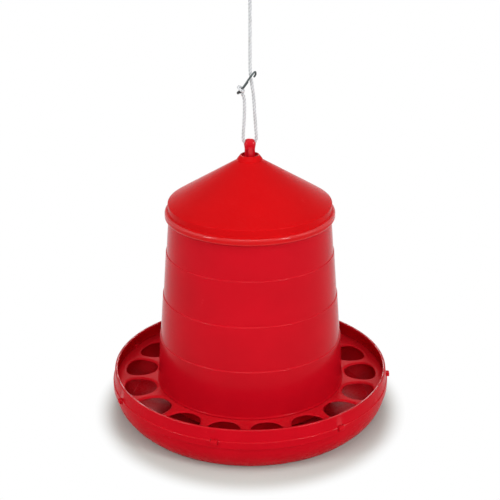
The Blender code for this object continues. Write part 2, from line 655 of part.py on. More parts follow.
def build_rod(finish):
    """The rod: foot flange, round stretch with the pin holes, ribs, and the head with its eye."""
    foot = FLANGE_TOP - FLANGE_THICKNESS
    flange_radius = ROD_RADIUS + FLANGE_STANDOUT
    zone_top = PIN_HEIGHT + PIN_ZONE
    flange = [
        (0.0, foot), (flange_radius - EDGE, foot), (flange_radius, foot + EDGE),
        (flange_radius, FLANGE_TOP - EDGE), (flange_radius - EDGE, FLANGE_TOP),
        (ROD_RADIUS, FLANGE_TOP), (ROD_RADIUS, zone_top), (0.0, zone_top),
    ]
    rod = revolved("hanger_rod", flange, finish, SMALL_TURNS)
    ends = (zone_top - ROD_SHRINK, HEAD_BOTTOM + HEAD_HEIGHT * HEAD_SHAPE[2][1])
    rod = boolean(rod, lofted("ribs", [cross_outline(height) for height in ends], finish), "UNION")
    head = lofted("head", [head_outline(scale, rise) for scale, rise in HEAD_SHAPE], finish)
    rod = boolean(rod, head, "UNION")
    turn = [p for p in smooth_route(CORD_ROUTE, CORD_POINTS) if p.z < ROD_TOP + HEAD_HEIGHT]
    rod = boolean(rod, solid_tube("eye", turn, CORD_RADIUS + EYE_GAP, finish), "DIFFERENCE")
    along_x = Matrix.Rotation(math.pi / 2.0, 4, "Y")
    heights = [PIN_HEIGHT + k * PIN_HOLE_PITCH for k in range(PIN_HOLE_COUNT)]
    holes = [
        bore("pin hole", PIN_RADIUS + NEIGHBOUR_GAP, 2.0 * ROD_WIDTH,
             Matrix.Translation((0.0, 0.0, height)) @ along_x, finish)
        for height in heights
    ]
    return boolean(rod, group("pin holes", holes, finish), "DIFFERENCE")


def build_pin(finish):
    """The bent steel pin through the rod, on which the hub rests; its origin is on its own axis."""
    points = [Vector((-PIN_TAIL, 0.0, 0.0)), Vector((0.0, 0.0, 0.0))]
    points += arc((PIN_REACH, 0.0, -PIN_BEND), PIN_BEND, 90.0, 0.0, PIN_BEND_POINTS)
    points.append(Vector((PIN_REACH + PIN_BEND, 0.0, -PIN_BEND - PIN_DROP)))
    pin = tube("level_pin", points, PIN_RADIUS, finish)
    pin.location = (0.0, 0.0, PIN_HEIGHT)
    return pin


def build_adjuster(finish):
    """One bent wire: an upper eye round the cord, a diagonal shank and a lower eye for the knot."""
    return tube("cord_adjuster", smooth_route(ADJUSTER_ROUTE, WIRE_POINTS), WIRE_RADIUS, finish)


def torus(name, centre, axis, major, minor, finish):
    """A ring of cord about an axis."""
    turns, sides = 20, 8
    bm = bmesh.new()
    place = Matrix.Translation(centre) @ Vector(axis).to_track_quat("Z", "Y").to_matrix().to_4x4()
    rings = []
    for around_ring in [2.0 * math.pi * i / turns for i in range(turns)]:
        around_cord = [2.0 * math.pi * j / sides for j in range(sides)]
        rings.append([
            bm.verts.new(place @ Vector((*polar(major + minor * math.cos(a), around_ring), minor * math.sin(a))))
            for a in around_cord
        ])
    skin(bm, rings, closed=True)
    return add_object(name, mesh_from_bmesh(name, bm), finish)


def build_knot(finish):
    """The turn of cord tied round the adjuster's front leg."""
    leg = Vector(ADJUSTER_ROUTE[KNOT_LEG + 1]) - Vector(ADJUSTER_ROUTE[KNOT_LEG])
    return torus("cord_knot", above_rod(KNOT_CENTRE), leg, KNOT_RADIUS, KNOT_CORD_RADIUS, finish)


def loop_centre():
    """The middle of the loop in the cord's top end."""
    rise = NEIGHBOUR_GAP + LOOP_NECK + LOOP_RADIUS - LOOP_SINK
    return above_rod(CORD_ROUTE[-1]) + Vector((0.0, 0.0, rise))


def build_top_loop(finish):
    """The loop bound into the cord's top end, with its whipped neck."""
    drop = LOOP_RADIUS - LOOP_SINK + LOOP_NECK / 2.0
    place = Matrix.Translation(loop_centre() - Vector((0.0, 0.0, drop)))
    neck = bore("cord_top_loop", LOOP_NECK_RADIUS, LOOP_NECK, place, finish)
    loop = torus("loop", loop_centre(), (1.0, 0.0, 0.0), LOOP_RADIUS, CORD_RADIUS, finish)
    return boolean(neck, loop, "UNION")


def build_hook(finish):
    """The screw hook above, with the cord's loop hung on it."""
    rise = LOOP_RADIUS - CORD_RADIUS - NEIGHBOUR_GAP - HOOK_WIRE_RADIUS + HOOK_RADIUS
    centre = loop_centre() + Vector((0.0, 0.0, rise))
    points = arc(centre, HOOK_RADIUS, HOOK_ARC_START, HOOK_ARC_END, HOOK_ARC_POINTS)
    crank, neck = HOOK_CRANK
    points.append(centre + Vector((crank, 0.0, HOOK_RADIUS + neck)))
    points.append(centre + Vector((0.0, 0.0, HOOK_RADIUS + HOOK_SHANK)))
    return tube("ceiling_hook", points, HOOK_WIRE_RADIUS, finish)


def main():
    """Builds the feeder in an empty scene."""
    for old in list(bpy.data.objects):
        bpy.data.objects.remove(old)
    red = (0.62, 0.012, 0.010)
    build_pan(material("red pan plastic", red, 0.28))
    build_ring(material("red ring plastic", red, 0.3))
    build_hopper(material("red hopper plastic", red, 0.26))
    build_bridge(material("red bridge plastic", (0.5, 0.012, 0.01), 0.4))
    build_lid(material("red lid plastic", red, 0.25))
    build_rod(material("red rod plastic", (0.55, 0.02, 0.015), 0.35))
    build_pin(material("pin steel", (0.6, 0.6, 0.6), 0.3, 1.0))
    build_adjuster(material("zinc wire", (0.22, 0.23, 0.24), 0.4, 1.0))
    build_hook(material("hook steel", (0.55, 0.55, 0.56), 0.35, 1.0))
    cord = material("white cord", (0.82, 0.82, 0.8), 0.8)
    build_knot(cord)
    build_top_loop(cord)
    tube("hanging_cord", smooth_route(CORD_ROUTE, CORD_POINTS), CORD_RADIUS, cord)


main()
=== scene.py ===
"""Looks of the hanging gravity feeder: moulded red pan, slotted ring, hopper, lid and rod, on a white cord.

The feeder's pieces are sized in millimetres, with heights from the pan's foot. The studio, the finishes and
the finished meshes are in metres.
"""

import logging
import math
from collections.abc import Iterable, Sequence
from dataclasses import dataclass
from enum import Enum
from functools import cache

import bmesh
import bpy
import numpy as np
from bmesh.types import BMesh, BMVert
from bpy.types import ID, Material, Mesh, Modifier, Node, NodeOutputs, NodeSocket, NodeTree, Object
from mathutils import Matrix, Vector


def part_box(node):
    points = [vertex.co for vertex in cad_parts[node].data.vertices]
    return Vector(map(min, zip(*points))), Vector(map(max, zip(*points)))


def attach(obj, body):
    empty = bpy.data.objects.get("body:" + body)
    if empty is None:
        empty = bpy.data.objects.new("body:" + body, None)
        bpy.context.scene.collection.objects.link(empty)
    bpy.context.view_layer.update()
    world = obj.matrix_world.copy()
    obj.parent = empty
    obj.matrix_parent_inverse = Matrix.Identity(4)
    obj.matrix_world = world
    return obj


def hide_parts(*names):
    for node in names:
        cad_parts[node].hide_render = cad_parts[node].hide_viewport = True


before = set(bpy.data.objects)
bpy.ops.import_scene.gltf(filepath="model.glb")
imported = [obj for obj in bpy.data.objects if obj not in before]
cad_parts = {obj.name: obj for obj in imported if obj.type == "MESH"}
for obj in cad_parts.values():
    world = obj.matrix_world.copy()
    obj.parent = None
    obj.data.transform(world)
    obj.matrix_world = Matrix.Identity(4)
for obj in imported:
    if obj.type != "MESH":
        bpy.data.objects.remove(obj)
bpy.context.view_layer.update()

MM = 0.001
LOG = logging.getLogger("feeder")
WHITE = (1.0, 1.0, 1.0, 1.0)

FILLET_STEP = math.radians(15.0)  # turn of each segment in a fillet
FILLET_SHARE = 0.42  # of a side, the most that a fillet takes
HOLDING_EDGE = 0.7  # from a fillet's end to the edge that holds its side flat
HOLDING_SHARE = 0.3  # of a side's flat rest, the most that lies before that edge
ROUTE_STEPS = 24  # of a curve between two places of its route
RIM_SHARE = 0.86  # of the way between two openings, the most that a rounded rim takes
TIP_CLEAR = 1.2  # wire radii from a tip that hold no points of the line's own
TIP_STEP = 18  # degrees between the rings of a wire's rounded tip
TIP_SHARE = 0.02  # of a wire's radius, the least that is left at its tips
ROLL_STEP = 30  # degrees between the points of a rolled edge
SHARP_ANGLE = math.radians(42.0)  # between faces whose shared edge stays sharp
WELD = 2e-6  # metres, closes seams

Corner = tuple[float, ...]  # (radius, height) or (radius, height, fillet)
Place = tuple[float, float, float]
Colour = tuple[float, float, float]
Inputs = dict[int | str, object]  # socket by name or place, to a value or to the socket that feeds it


class Body(Enum):
    """The feeder's moving bodies."""

    PAN = "pan"
    HOPPER = "hopper"
    LID = "lid"
    PIN = "pin"


class Kind(Enum):
    """The two kinds of node tree that are built here."""

    GEOMETRY = "GeometryNodeTree"
    SHADER = "ShaderNodeTree"


class Socket(Enum):
    """What a tree's input or output carries."""

    FLOAT = "NodeSocketFloat"
    INT = "NodeSocketInt"
    VECTOR = "NodeSocketVector"
    MATERIAL = "NodeSocketMaterial"
    GEOMETRY = "NodeSocketGeometry"


class Meeting(Enum):
    """What a second solid does to the first."""

    ADD = "UNION"
    CUT = "DIFFERENCE"


# -------- frame and outlines


def low_of(node: str) -> Vector:
    """Lowest corner of a CAD node, in millimetres."""
    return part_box(node)[0] / MM


def high_of(node: str) -> Vector:
    """Highest corner of a CAD node, in millimetres."""
    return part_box(node)[1] / MM


def polar(radius: float, angle: float) -> tuple[float, float]:
    """A point in plan from a radius and an angle in radians."""
    return radius * math.cos(angle), radius * math.sin(angle)


def around(count: int, first: float) -> list[float]:
    """Angles of equally spaced features, in radians, from the first."""
    return [first + 2.0 * math.pi * k / count for k in range(count)]


def filleted(corners: Sequence[Corner]) -> list[tuple[float, float]]:
    """Rounds the corners of a closed outline.

    Args:
        corners: (x, y) or (x, y, fillet) in order; a fillet is kept inside its two sides.

    Returns:
        The outline, with each fillet in fine steps and a holding point on both of its sides.
    """
    outline: list[tuple[float, float]] = []
    loop = list(corners)
    for before, corner, after in zip(loop[-1:] + loop[:-1], loop, loop[1:] + loop[:1]):
        here = Vector(corner[:2])
        if len(corner) == 2:
            outline.append(tuple(here))
            continue
        back, ahead = Vector(before[:2]) - here, Vector(after[:2]) - here
        half = back.angle(ahead) / 2.0
        reach = min(corner[2] / math.tan(half), FILLET_SHARE * back.length, FILLET_SHARE * ahead.length)
        fillet = reach * math.tan(half)
        middle = (back.normalized() + ahead.normalized()).normalized()
        centre = here + middle * fillet / math.sin(half)
        turn = math.pi - 2.0 * half
        steps = max(2, round(turn / FILLET_STEP))
        start = here + back.normalized() * reach - centre
        side = 1.0 if back.x * ahead.y - back.y * ahead.x < 0.0 else -1.0
        hold_back = reach + min(HOLDING_EDGE, HOLDING_SHARE * (back.length - reach))
        hold_ahead = reach + min(HOLDING_EDGE, HOLDING_SHARE * (ahead.length - reach))
        outline.append(tuple(here + back.normalized() * hold_back))
        for i in range(steps + 1):
            outline.append(tuple(centre + Matrix.Rotation(side * turn * i / steps, 2) @ start))
        outline.append(tuple(here + ahead.normalized() * hold_ahead))
    return outline


def through(route: Sequence[Place], count: int) -> list[Vector]:
    """Evenly spaced points on a Catmull-Rom curve through a route.

    Args:
        route: places in millimetres.
        count: how many points to give.

    Returns:
        The points, in millimetres.
    """
    knots = np.array(route, float)
    ends = np.vstack([2 * knots[0] - knots[1], knots, 2 * knots[-1] - knots[-2]])
    dense = []
    for a, b, c, d in zip(ends, ends[1:], ends[2:], ends[3:]):
        for t in np.linspace(0.0, 1.0, ROUTE_STEPS, endpoint=False):
            dense.append(0.5 * (2 * b + (c - a) * t + (2 * a - 5 * b + 4 * c - d) * t**2
                                + (3 * b - a - 3 * c + d) * t**3))
    dense = np.vstack([dense, knots[-1]])
    along = np.concatenate([[0.0], np.cumsum(np.linalg.norm(np.diff(dense, axis=0), axis=1))])
    wanted = np.linspace(0.0, along[-1], count)
    return [Vector([float(np.interp(w, along, dense[:, k])) for k in range(3)]) for w in wanted]


def arc(centre: Vector, radius: float, start: float, end: float, count: int) -> list[Vector]:
    """Points of an upright arc in the XZ plane, angles in degrees from +X."""
    angles = [math.radians(start + (end - start) * i / (count - 1)) for i in range(count)]
    return [centre + radius * Vector((math.cos(a), 0.0, math.sin(a))) for a in angles]


def eased_ends(points: Sequence[Vector], radius: float) -> list[Vector]:
    """Adds points close to both ends of a line, so that a wire's rounded ends have rings to shape.

    Args:
        points: the line.
        radius: the wire's.

    Returns:
        The line, with its points closer together towards both tips.
    """
    def end_points(tip: Vector, inner: Vector) -> list[Vector]:
        """Places within a radius of one tip, from the tip inwards."""
        way = (inner - tip).normalized()
        return [tip + way * radius * (1.0 - math.cos(math.radians(a))) for a in range(0, 91, TIP_STEP)]

    first, last = points[0], points[-1]
    clear = TIP_CLEAR * radius
    middle = [p for p in points if (p - first).length > clear and (p - last).length > clear]
    return end_points(first, middle[0]) + middle + end_points(last, middle[-1])[::-1]


def line_mesh(name: str, points: Iterable[Sequence[float]], closed: bool = False) -> Mesh:
    """A mesh of one line of edges.

    Args:
        name: the mesh's name.
        points: the line, in millimetres.
        closed: whether its end joins its start.

    Returns:
        The mesh.
    """
    places = [Vector(p) * MM for p in points]
    edges = [(i, i + 1) for i in range(len(places) - 1)]
    if closed:
        edges.append((len(places) - 1, 0))
    mesh = bpy.data.meshes.new(name)
    mesh.from_pydata(places, edges, [])
    return mesh


# -------- node makers


class NodeMaker:
    """Fills a node tree: adds nodes, feeds their inputs and hands on what they give."""

    def __init__(self, tree: NodeTree) -> None:
        """Starts with the tree to fill."""
        self.tree = tree

    def feed(self, node: Node, inputs: Inputs) -> None:
        """Sets a node's inputs.

        Args:
            node: the node.
            inputs: a value for each, or the socket to link to it.
        """
        for socket, value in inputs.items():
            if isinstance(value, NodeSocket):
                self.tree.links.new(value, node.inputs[socket])
            else:
                node.inputs[socket].default_value = value

    def node(self, kind: str, inputs: Inputs | None = None, **settings: object) -> Node:
        """Adds a node.

        Args:
            kind: the node's type.
            inputs: what feeds it.
            settings: the node's own properties.

        Returns:
            The new node.
        """
        node = self.tree.nodes.new(kind)
        for key, value in settings.items():
            setattr(node, key, value)
        self.feed(node, inputs or {})
        return node

    def result(self, kind: str, inputs: Inputs | None = None, output: int | str = 0,
               **settings: object) -> NodeSocket:
        """One output of a new node: its first, unless another is named."""
        return self.node(kind, inputs, **settings).outputs[output]

    def maths(self, operation: str, *values: object) -> NodeSocket:
        """What a Math node makes of numbers or sockets."""
        return self.result("ShaderNodeMath", dict(enumerate(values)), operation=operation)

    def mixed(self, share: object, low: object, high: object) -> NodeSocket:
        """low + (high - low) * share."""
        return self.maths("MULTIPLY_ADD", self.maths("SUBTRACT", high, low), share, low)

    def mapped(self, value: object, low: float, high: float, top: float = 1.0,
               **settings: object) -> NodeSocket:
        """How far a value has come from low to high, as 0 to top."""
        inputs = {"Value": value, "From Min": low, "From Max": high, "To Max": top}
        return self.result("ShaderNodeMapRange", inputs, **settings)

    def vectors(self, operation: str, *values: object) -> NodeSocket:
        """What a Vector Math node makes of vectors or sockets."""
        output = "Value" if operation in ("LENGTH", "DISTANCE") else "Vector"
        return self.result("ShaderNodeVectorMath", dict(enumerate(values)), output, operation=operation)

    def scaled(self, vector: object, factor: object) -> NodeSocket:
        """A vector times a number."""
        return self.result("ShaderNodeVectorMath", {0: vector, "Scale": factor}, operation="SCALE")

    def vector(self, *parts: object) -> NodeSocket:
        """A vector of X, Y and Z."""
        return self.result("ShaderNodeCombineXYZ", dict(enumerate(parts)))

    def split(self, vector: NodeSocket) -> tuple[NodeSocket, ...]:
        """The X, Y and Z of a vector."""
        return tuple(self.node("ShaderNodeSeparateXYZ", {0: vector}).outputs)

    def noise(self, place: NodeSocket, scale: object, detail: float = 2.0,
              roughness: float = 0.5) -> NodeSocket:
        """A noise's value at a place."""
        inputs = {"Vector": place, "Scale": scale, "Detail": detail, "Roughness": roughness}
        return self.result("ShaderNodeTexNoise", inputs)

    def blended(self, share: object, low: object, high: object) -> NodeSocket:
        """A colour between two, each a Colour or a socket, by a share."""
        ends = [end if isinstance(end, NodeSocket) else (*end, 1.0) for end in (low, high)]
        return self.result("ShaderNodeMix", {0: share, 6: ends[0], 7: ends[1]}, 2, data_type="RGBA")

    def seen(self) -> NodeSocket:
        """Tells the rays that show a surface from those that only carry its light.

        Returns:
            1 on rays from the camera, mirrored or let through, and 0 on the others.
        """
        rays = self.node("ShaderNodeLightPath").outputs
        shown = self.maths("ADD", rays["Is Camera Ray"], rays["Is Glossy Ray"])
        return self.maths("MINIMUM", self.maths("ADD", shown, rays["Is Transmission Ray"]), 1.0)


class TreeMaker(NodeMaker):
    """Makes a tree of its own, with named inputs and outputs."""

    def __init__(self, name: str, kind: Kind) -> None:
        """Starts an empty tree.

        Args:
            name: the tree's name.
            kind: whether it shapes meshes or feeds shaders.
        """
        super().__init__(bpy.data.node_groups.new(name, kind.value))
        self.inside = self.node("NodeGroupInput")
        self.outside = self.node("NodeGroupOutput")

    def input(self, name: str, kind: Socket, default: object = None) -> NodeSocket:
        """Adds a named input.

        Args:
            name: the input's name.
            kind: what it carries.
            default: its value where none is set.

        Returns:
            The socket that gives it inside the tree.
        """
        item = self.tree.interface.new_socket(name=name, in_out="INPUT", socket_type=kind.value)
        if default is not None:
            item.default_value = default
        return self.inside.outputs[name]

    def number(self, name: str, default: float) -> NodeSocket:
        """Adds a named number as an input."""
        return self.input(name, Socket.FLOAT, default)

    def count(self, name: str, default: int) -> NodeSocket:
        """Adds a named whole number as an input."""
        return self.input(name, Socket.INT, default)

    def output(self, name: str, value: NodeSocket, kind: Socket = Socket.FLOAT) -> None:
        """Adds a named output fed by a socket."""
        self.tree.interface.new_socket(name=name, in_out="OUTPUT", socket_type=kind.value)
        self.feed(self.outside, {name: value})


class ShapeMaker(TreeMaker):
    """Makes a Geometry Nodes tree that shapes the mesh it is run on."""

    def __init__(self, name: str) -> None:
        """Starts a tree with that mesh as its first input."""
        super().__init__(name, Kind.GEOMETRY)
        self.start = self.input("Geometry", Socket.GEOMETRY)

    def shape(self, kind: str, inputs: Inputs | None = None, output: int | str = 0,
              **settings: object) -> NodeSocket:
        """One output of a new node, whose kind is named without GeometryNode before it."""
        return self.result("GeometryNode" + kind, inputs, output, **settings)

    def position(self) -> NodeSocket:
        """Where each point lies."""
        return self.shape("InputPosition")

    def sampled(self, index: object) -> NodeSocket:
        """Where the point of that index lies in the mesh that the tree starts from."""
        inputs = {"Geometry": self.start, "Value": self.position(), "Index": index}
        return self.shape("SampleIndex", inputs, data_type="FLOAT_VECTOR", domain="POINT")

    def captured(self, geometry: NodeSocket, fields: dict[str, NodeSocket]) -> NodeOutputs:
        """Keeps fields as they are at this stage of a geometry.

        Args:
            geometry: where the fields are read.
            fields: the fields by name.

        Returns:
            The outputs by name: Geometry and each field.
        """
        node = self.node("GeometryNodeCaptureAttribute", {"Geometry": geometry})
        for name, value in fields.items():
            node.capture_items.new("VECTOR" if value.type == "VECTOR" else "FLOAT", name)
        self.feed(node, fields)
        return node.outputs

    def round_axis(self, part: NodeSocket, count: NodeSocket, first: NodeSocket) -> NodeSocket:
        """Instances of a part at equal angles about the Z axis.

        Args:
            part: the geometry to repeat.
            count: how many there are.
            first: the first one's angle.

        Returns:
            The instances.
        """
        points = self.shape("Points", {"Count": count})
        step = self.maths("DIVIDE", 2.0 * math.pi, count)
        angle = self.maths("MULTIPLY_ADD", self.shape("InputIndex"), step, first)
        return self.shape("InstanceOnPoints", {
            "Points": points, "Instance": part, "Rotation": self.vector(0.0, 0.0, angle)})

    def finish(self, geometry: NodeSocket) -> NodeTree:
        """Ends the tree: instances made real, faces smooth and dressed in the input Finish.

        Args:
            geometry: what the tree has made.

        Returns:
            The tree.
        """
        real = self.shape("RealizeInstances", {"Geometry": geometry})
        smooth = self.shape("SetShadeSmooth", {"Geometry": real})
        dressed = self.shape("SetMaterial", {
            "Geometry": smooth, "Material": self.input("Finish", Socket.MATERIAL)})
        self.output("Geometry", dressed, Socket.GEOMETRY)
        return self.tree


# -------- objects


def new_object(name: str, data: ID) -> Object:
    """An object in the scene.

    Args:
        name: its name.
        data: the mesh, light or camera that it shows.

    Returns:
        The object.
    """
    made = bpy.data.objects.new(name, data)
    bpy.context.scene.collection.objects.link(made)
    return made


def applied(made: Object, modifier: Modifier) -> Object:
    """Makes what a modifier gives an object's plain mesh.

    Args:
        made: the object.
        modifier: the modifier, which is removed.

    Returns:
        The object.
    """
    graph = bpy.context.evaluated_depsgraph_get()
    mesh = bpy.data.meshes.new_from_object(made.evaluated_get(graph))
    made.modifiers.remove(modifier)
    made.data = mesh
    return made


def shaped(name: str, mesh: Mesh, tree: NodeTree, values: dict[str, object]) -> Object:
    """Runs a Geometry Nodes tree over a mesh and keeps the result as a plain mesh.

    Args:
        name: its name.
        mesh: what the tree starts from.
        tree: the tree.
        values: the tree's inputs by name; each is set by its socket's identifier.

    Returns:
        The object, with no modifier left on it.
    """
    made = new_object(name, mesh)
    modifier = made.modifiers.new("shape", "NODES")
    modifier.node_group = tree
    for item in tree.interface.items_tree:
        if item.in_out == "INPUT" and item.name in values:
            modifier[item.identifier] = values[item.name]
    mesh = applied(made, modifier).data
    mesh.name = name
    mesh.materials.clear()
    mesh.materials.append(values["Finish"])
    mesh.polygons.foreach_set("material_index", [0] * len(mesh.polygons))
    return made


def closed_up(made: Object) -> Object:
    """Welds an object's seams, turns its faces outwards and shades it smooth with its sharp edges kept.

    Args:
        made: the object.

    Returns:
        The object.
    """
    bm = bmesh.new()
    bm.from_mesh(made.data)
    bmesh.ops.remove_doubles(bm, verts=bm.verts[:], dist=WELD)
    bmesh.ops.dissolve_degenerate(bm, edges=bm.edges[:], dist=WELD / 4.0)
    bmesh.ops.recalc_face_normals(bm, faces=bm.faces[:])
    bm.to_mesh(made.data)
    bm.free()
    made.data.shade_smooth()
    made.data.set_sharp_from_angle(angle=SHARP_ANGLE)
    return made


def reshaped(name: str, part: Object, tree: NodeTree, values: dict[str, object]) -> Object:
    """Runs a tree over a finished object's mesh and removes that object.

    Args:
        name: its name.
        part: what the tree starts from; its finish is kept.
        tree: the tree.
        values: the tree's inputs by name.

    Returns:
        The new object.
    """
    made = shaped(name, part.data, tree, {**values, "Finish": part.data.materials[0]})
    bpy.data.objects.remove(part)
    return closed_up(made)


def from_bmesh(name: str, bm: BMesh, material: Material) -> Object:
    """An object of a bmesh.

    Args:
        name: its name.
        bm: the shape in millimetres, which is freed.
        material: its finish.

    Returns:
        The object.
    """
    bmesh.ops.scale(bm, vec=(MM, MM, MM), verts=bm.verts[:])
    mesh = bpy.data.meshes.new(name)
    bm.to_mesh(mesh)
    bm.free()
    mesh.materials.append(material)
    return closed_up(new_object(name, mesh))


def combine(target: Object, other: Object, meeting: Meeting) -> Object:
    """Applies an exact Boolean to the target and removes the other object.

    Args:
        target: the solid that is kept.
        other: the solid that is added or cuts.
        meeting: which of the two it does.

    Returns:
        The target.
    """
    modifier = target.modifiers.new("meeting", "BOOLEAN")
    modifier.object = other
    modifier.operation = meeting.value
    modifier.solver = "EXACT"
    applied(target, modifier)
    bpy.data.objects.remove(other)
    return target


def joined(name: str, parts: Sequence[Object]) -> Object:
    """Several closed shells of one body as one object.

    Args:
        name: its name.
        parts: the shells, which are removed.

    Returns:
        The new object, in the first part's finish.
    """
    bm = bmesh.new()
    for part in parts:
        bm.from_mesh(part.data)
    material = parts[0].data.materials[0]
    for part in parts:
        bpy.data.objects.remove(part)
    bmesh.ops.scale(bm, vec=(1.0 / MM,) * 3, verts=bm.verts[:])
    return from_bmesh(name, bm, material)


def block(name: str, size: Place, centre: Place, material: Material, edge: float) -> Object:
    """A rounded block.

    Args:
        name: the block's name.
        size: its lengths along X, Y and Z.
        centre: its middle.
        material: its finish.
        edge: the rounding of its edges.

    Returns:
        The block.
    """
    bm = bmesh.new()
    bmesh.ops.create_cube(bm, size=1.0)
    place = Matrix.Translation(centre) @ Matrix.Diagonal((*size, 1.0))
    bmesh.ops.transform(bm, matrix=place, verts=bm.verts[:])
    bmesh.ops.bevel(bm, geom=bm.edges[:], offset=edge, segments=3, profile=0.5, affect="EDGES")
    return from_bmesh(name, bm, material)


def show(made: Object, body: Body, node: str) -> None:
    """Puts a finished piece on its body in place of a CAD node.

    Args:
        made: the piece, its mesh already in place.
        body: the body that it moves with.
        node: the CAD node that it stands for, which is hidden.
    """
    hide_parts(node)
    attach(made, body.value)
    LOG.info("%s rides on %s with %d faces", made.name, body.value, len(made.data.polygons))


# -------- geometry trees


@cache
def turned_tree() -> NodeTree:
    """Tree that turns a closed outline, given as (radius, height) in the XZ plane, about the Z axis.

    Returns:
        The tree.
    """
    maker = ShapeMaker("Turned Shell")
    turns = maker.count("Turns", 192)
    path_radius = 50.0 * MM  # any will do, as the outline is first moved in by as much
    x, _, z = maker.split(maker.position())
    flat = maker.vector(maker.maths("SUBTRACT", x, path_radius), maker.maths("MULTIPLY", z, -1.0), 0.0)
    laid = maker.shape("SetPosition", {"Geometry": maker.start, "Position": flat})
    section = maker.shape("MeshToCurve", {"Mesh": laid})
    path = maker.shape("CurvePrimitiveCircle", {"Resolution": turns, "Radius": path_radius})
    return maker.finish(maker.shape("CurveToMesh", {"Curve": path, "Profile Curve": section}))


@cache
def copies_tree() -> NodeTree:
    """Tree that repeats a part at equal angles about the Z axis.

    Returns:
        The tree.
    """
    maker = ShapeMaker("Copies Round The Axis")
    count = maker.count("Count", 7)
    first = maker.number("First Angle", 0.0)
    return maker.finish(maker.round_axis(maker.start, count, first))


@cache
def windows_tree() -> NodeTree:
    """Tree that cuts a row of windows through a wall about the Z axis.

    Returns:
        The tree.
    """
    maker = ShapeMaker("Windows Round The Wall")
    count = maker.count("Count", 7)
    first = maker.number("First Angle", 0.0)
    size = maker.input("Window Size", Socket.VECTOR)
    place = maker.input("Window Place", Socket.VECTOR)
    cube = maker.shape("MeshCube", {"Size": size})
    window = maker.shape("Transform", {"Geometry": cube, "Translation": place})
    row = maker.round_axis(window, count, first)
    cutters = maker.shape("RealizeInstances", {"Geometry": row})
    return maker.finish(maker.shape("MeshBoolean", {"Mesh 1": maker.start, "Mesh 2": cutters},
                                     operation="DIFFERENCE", solver="EXACT"))


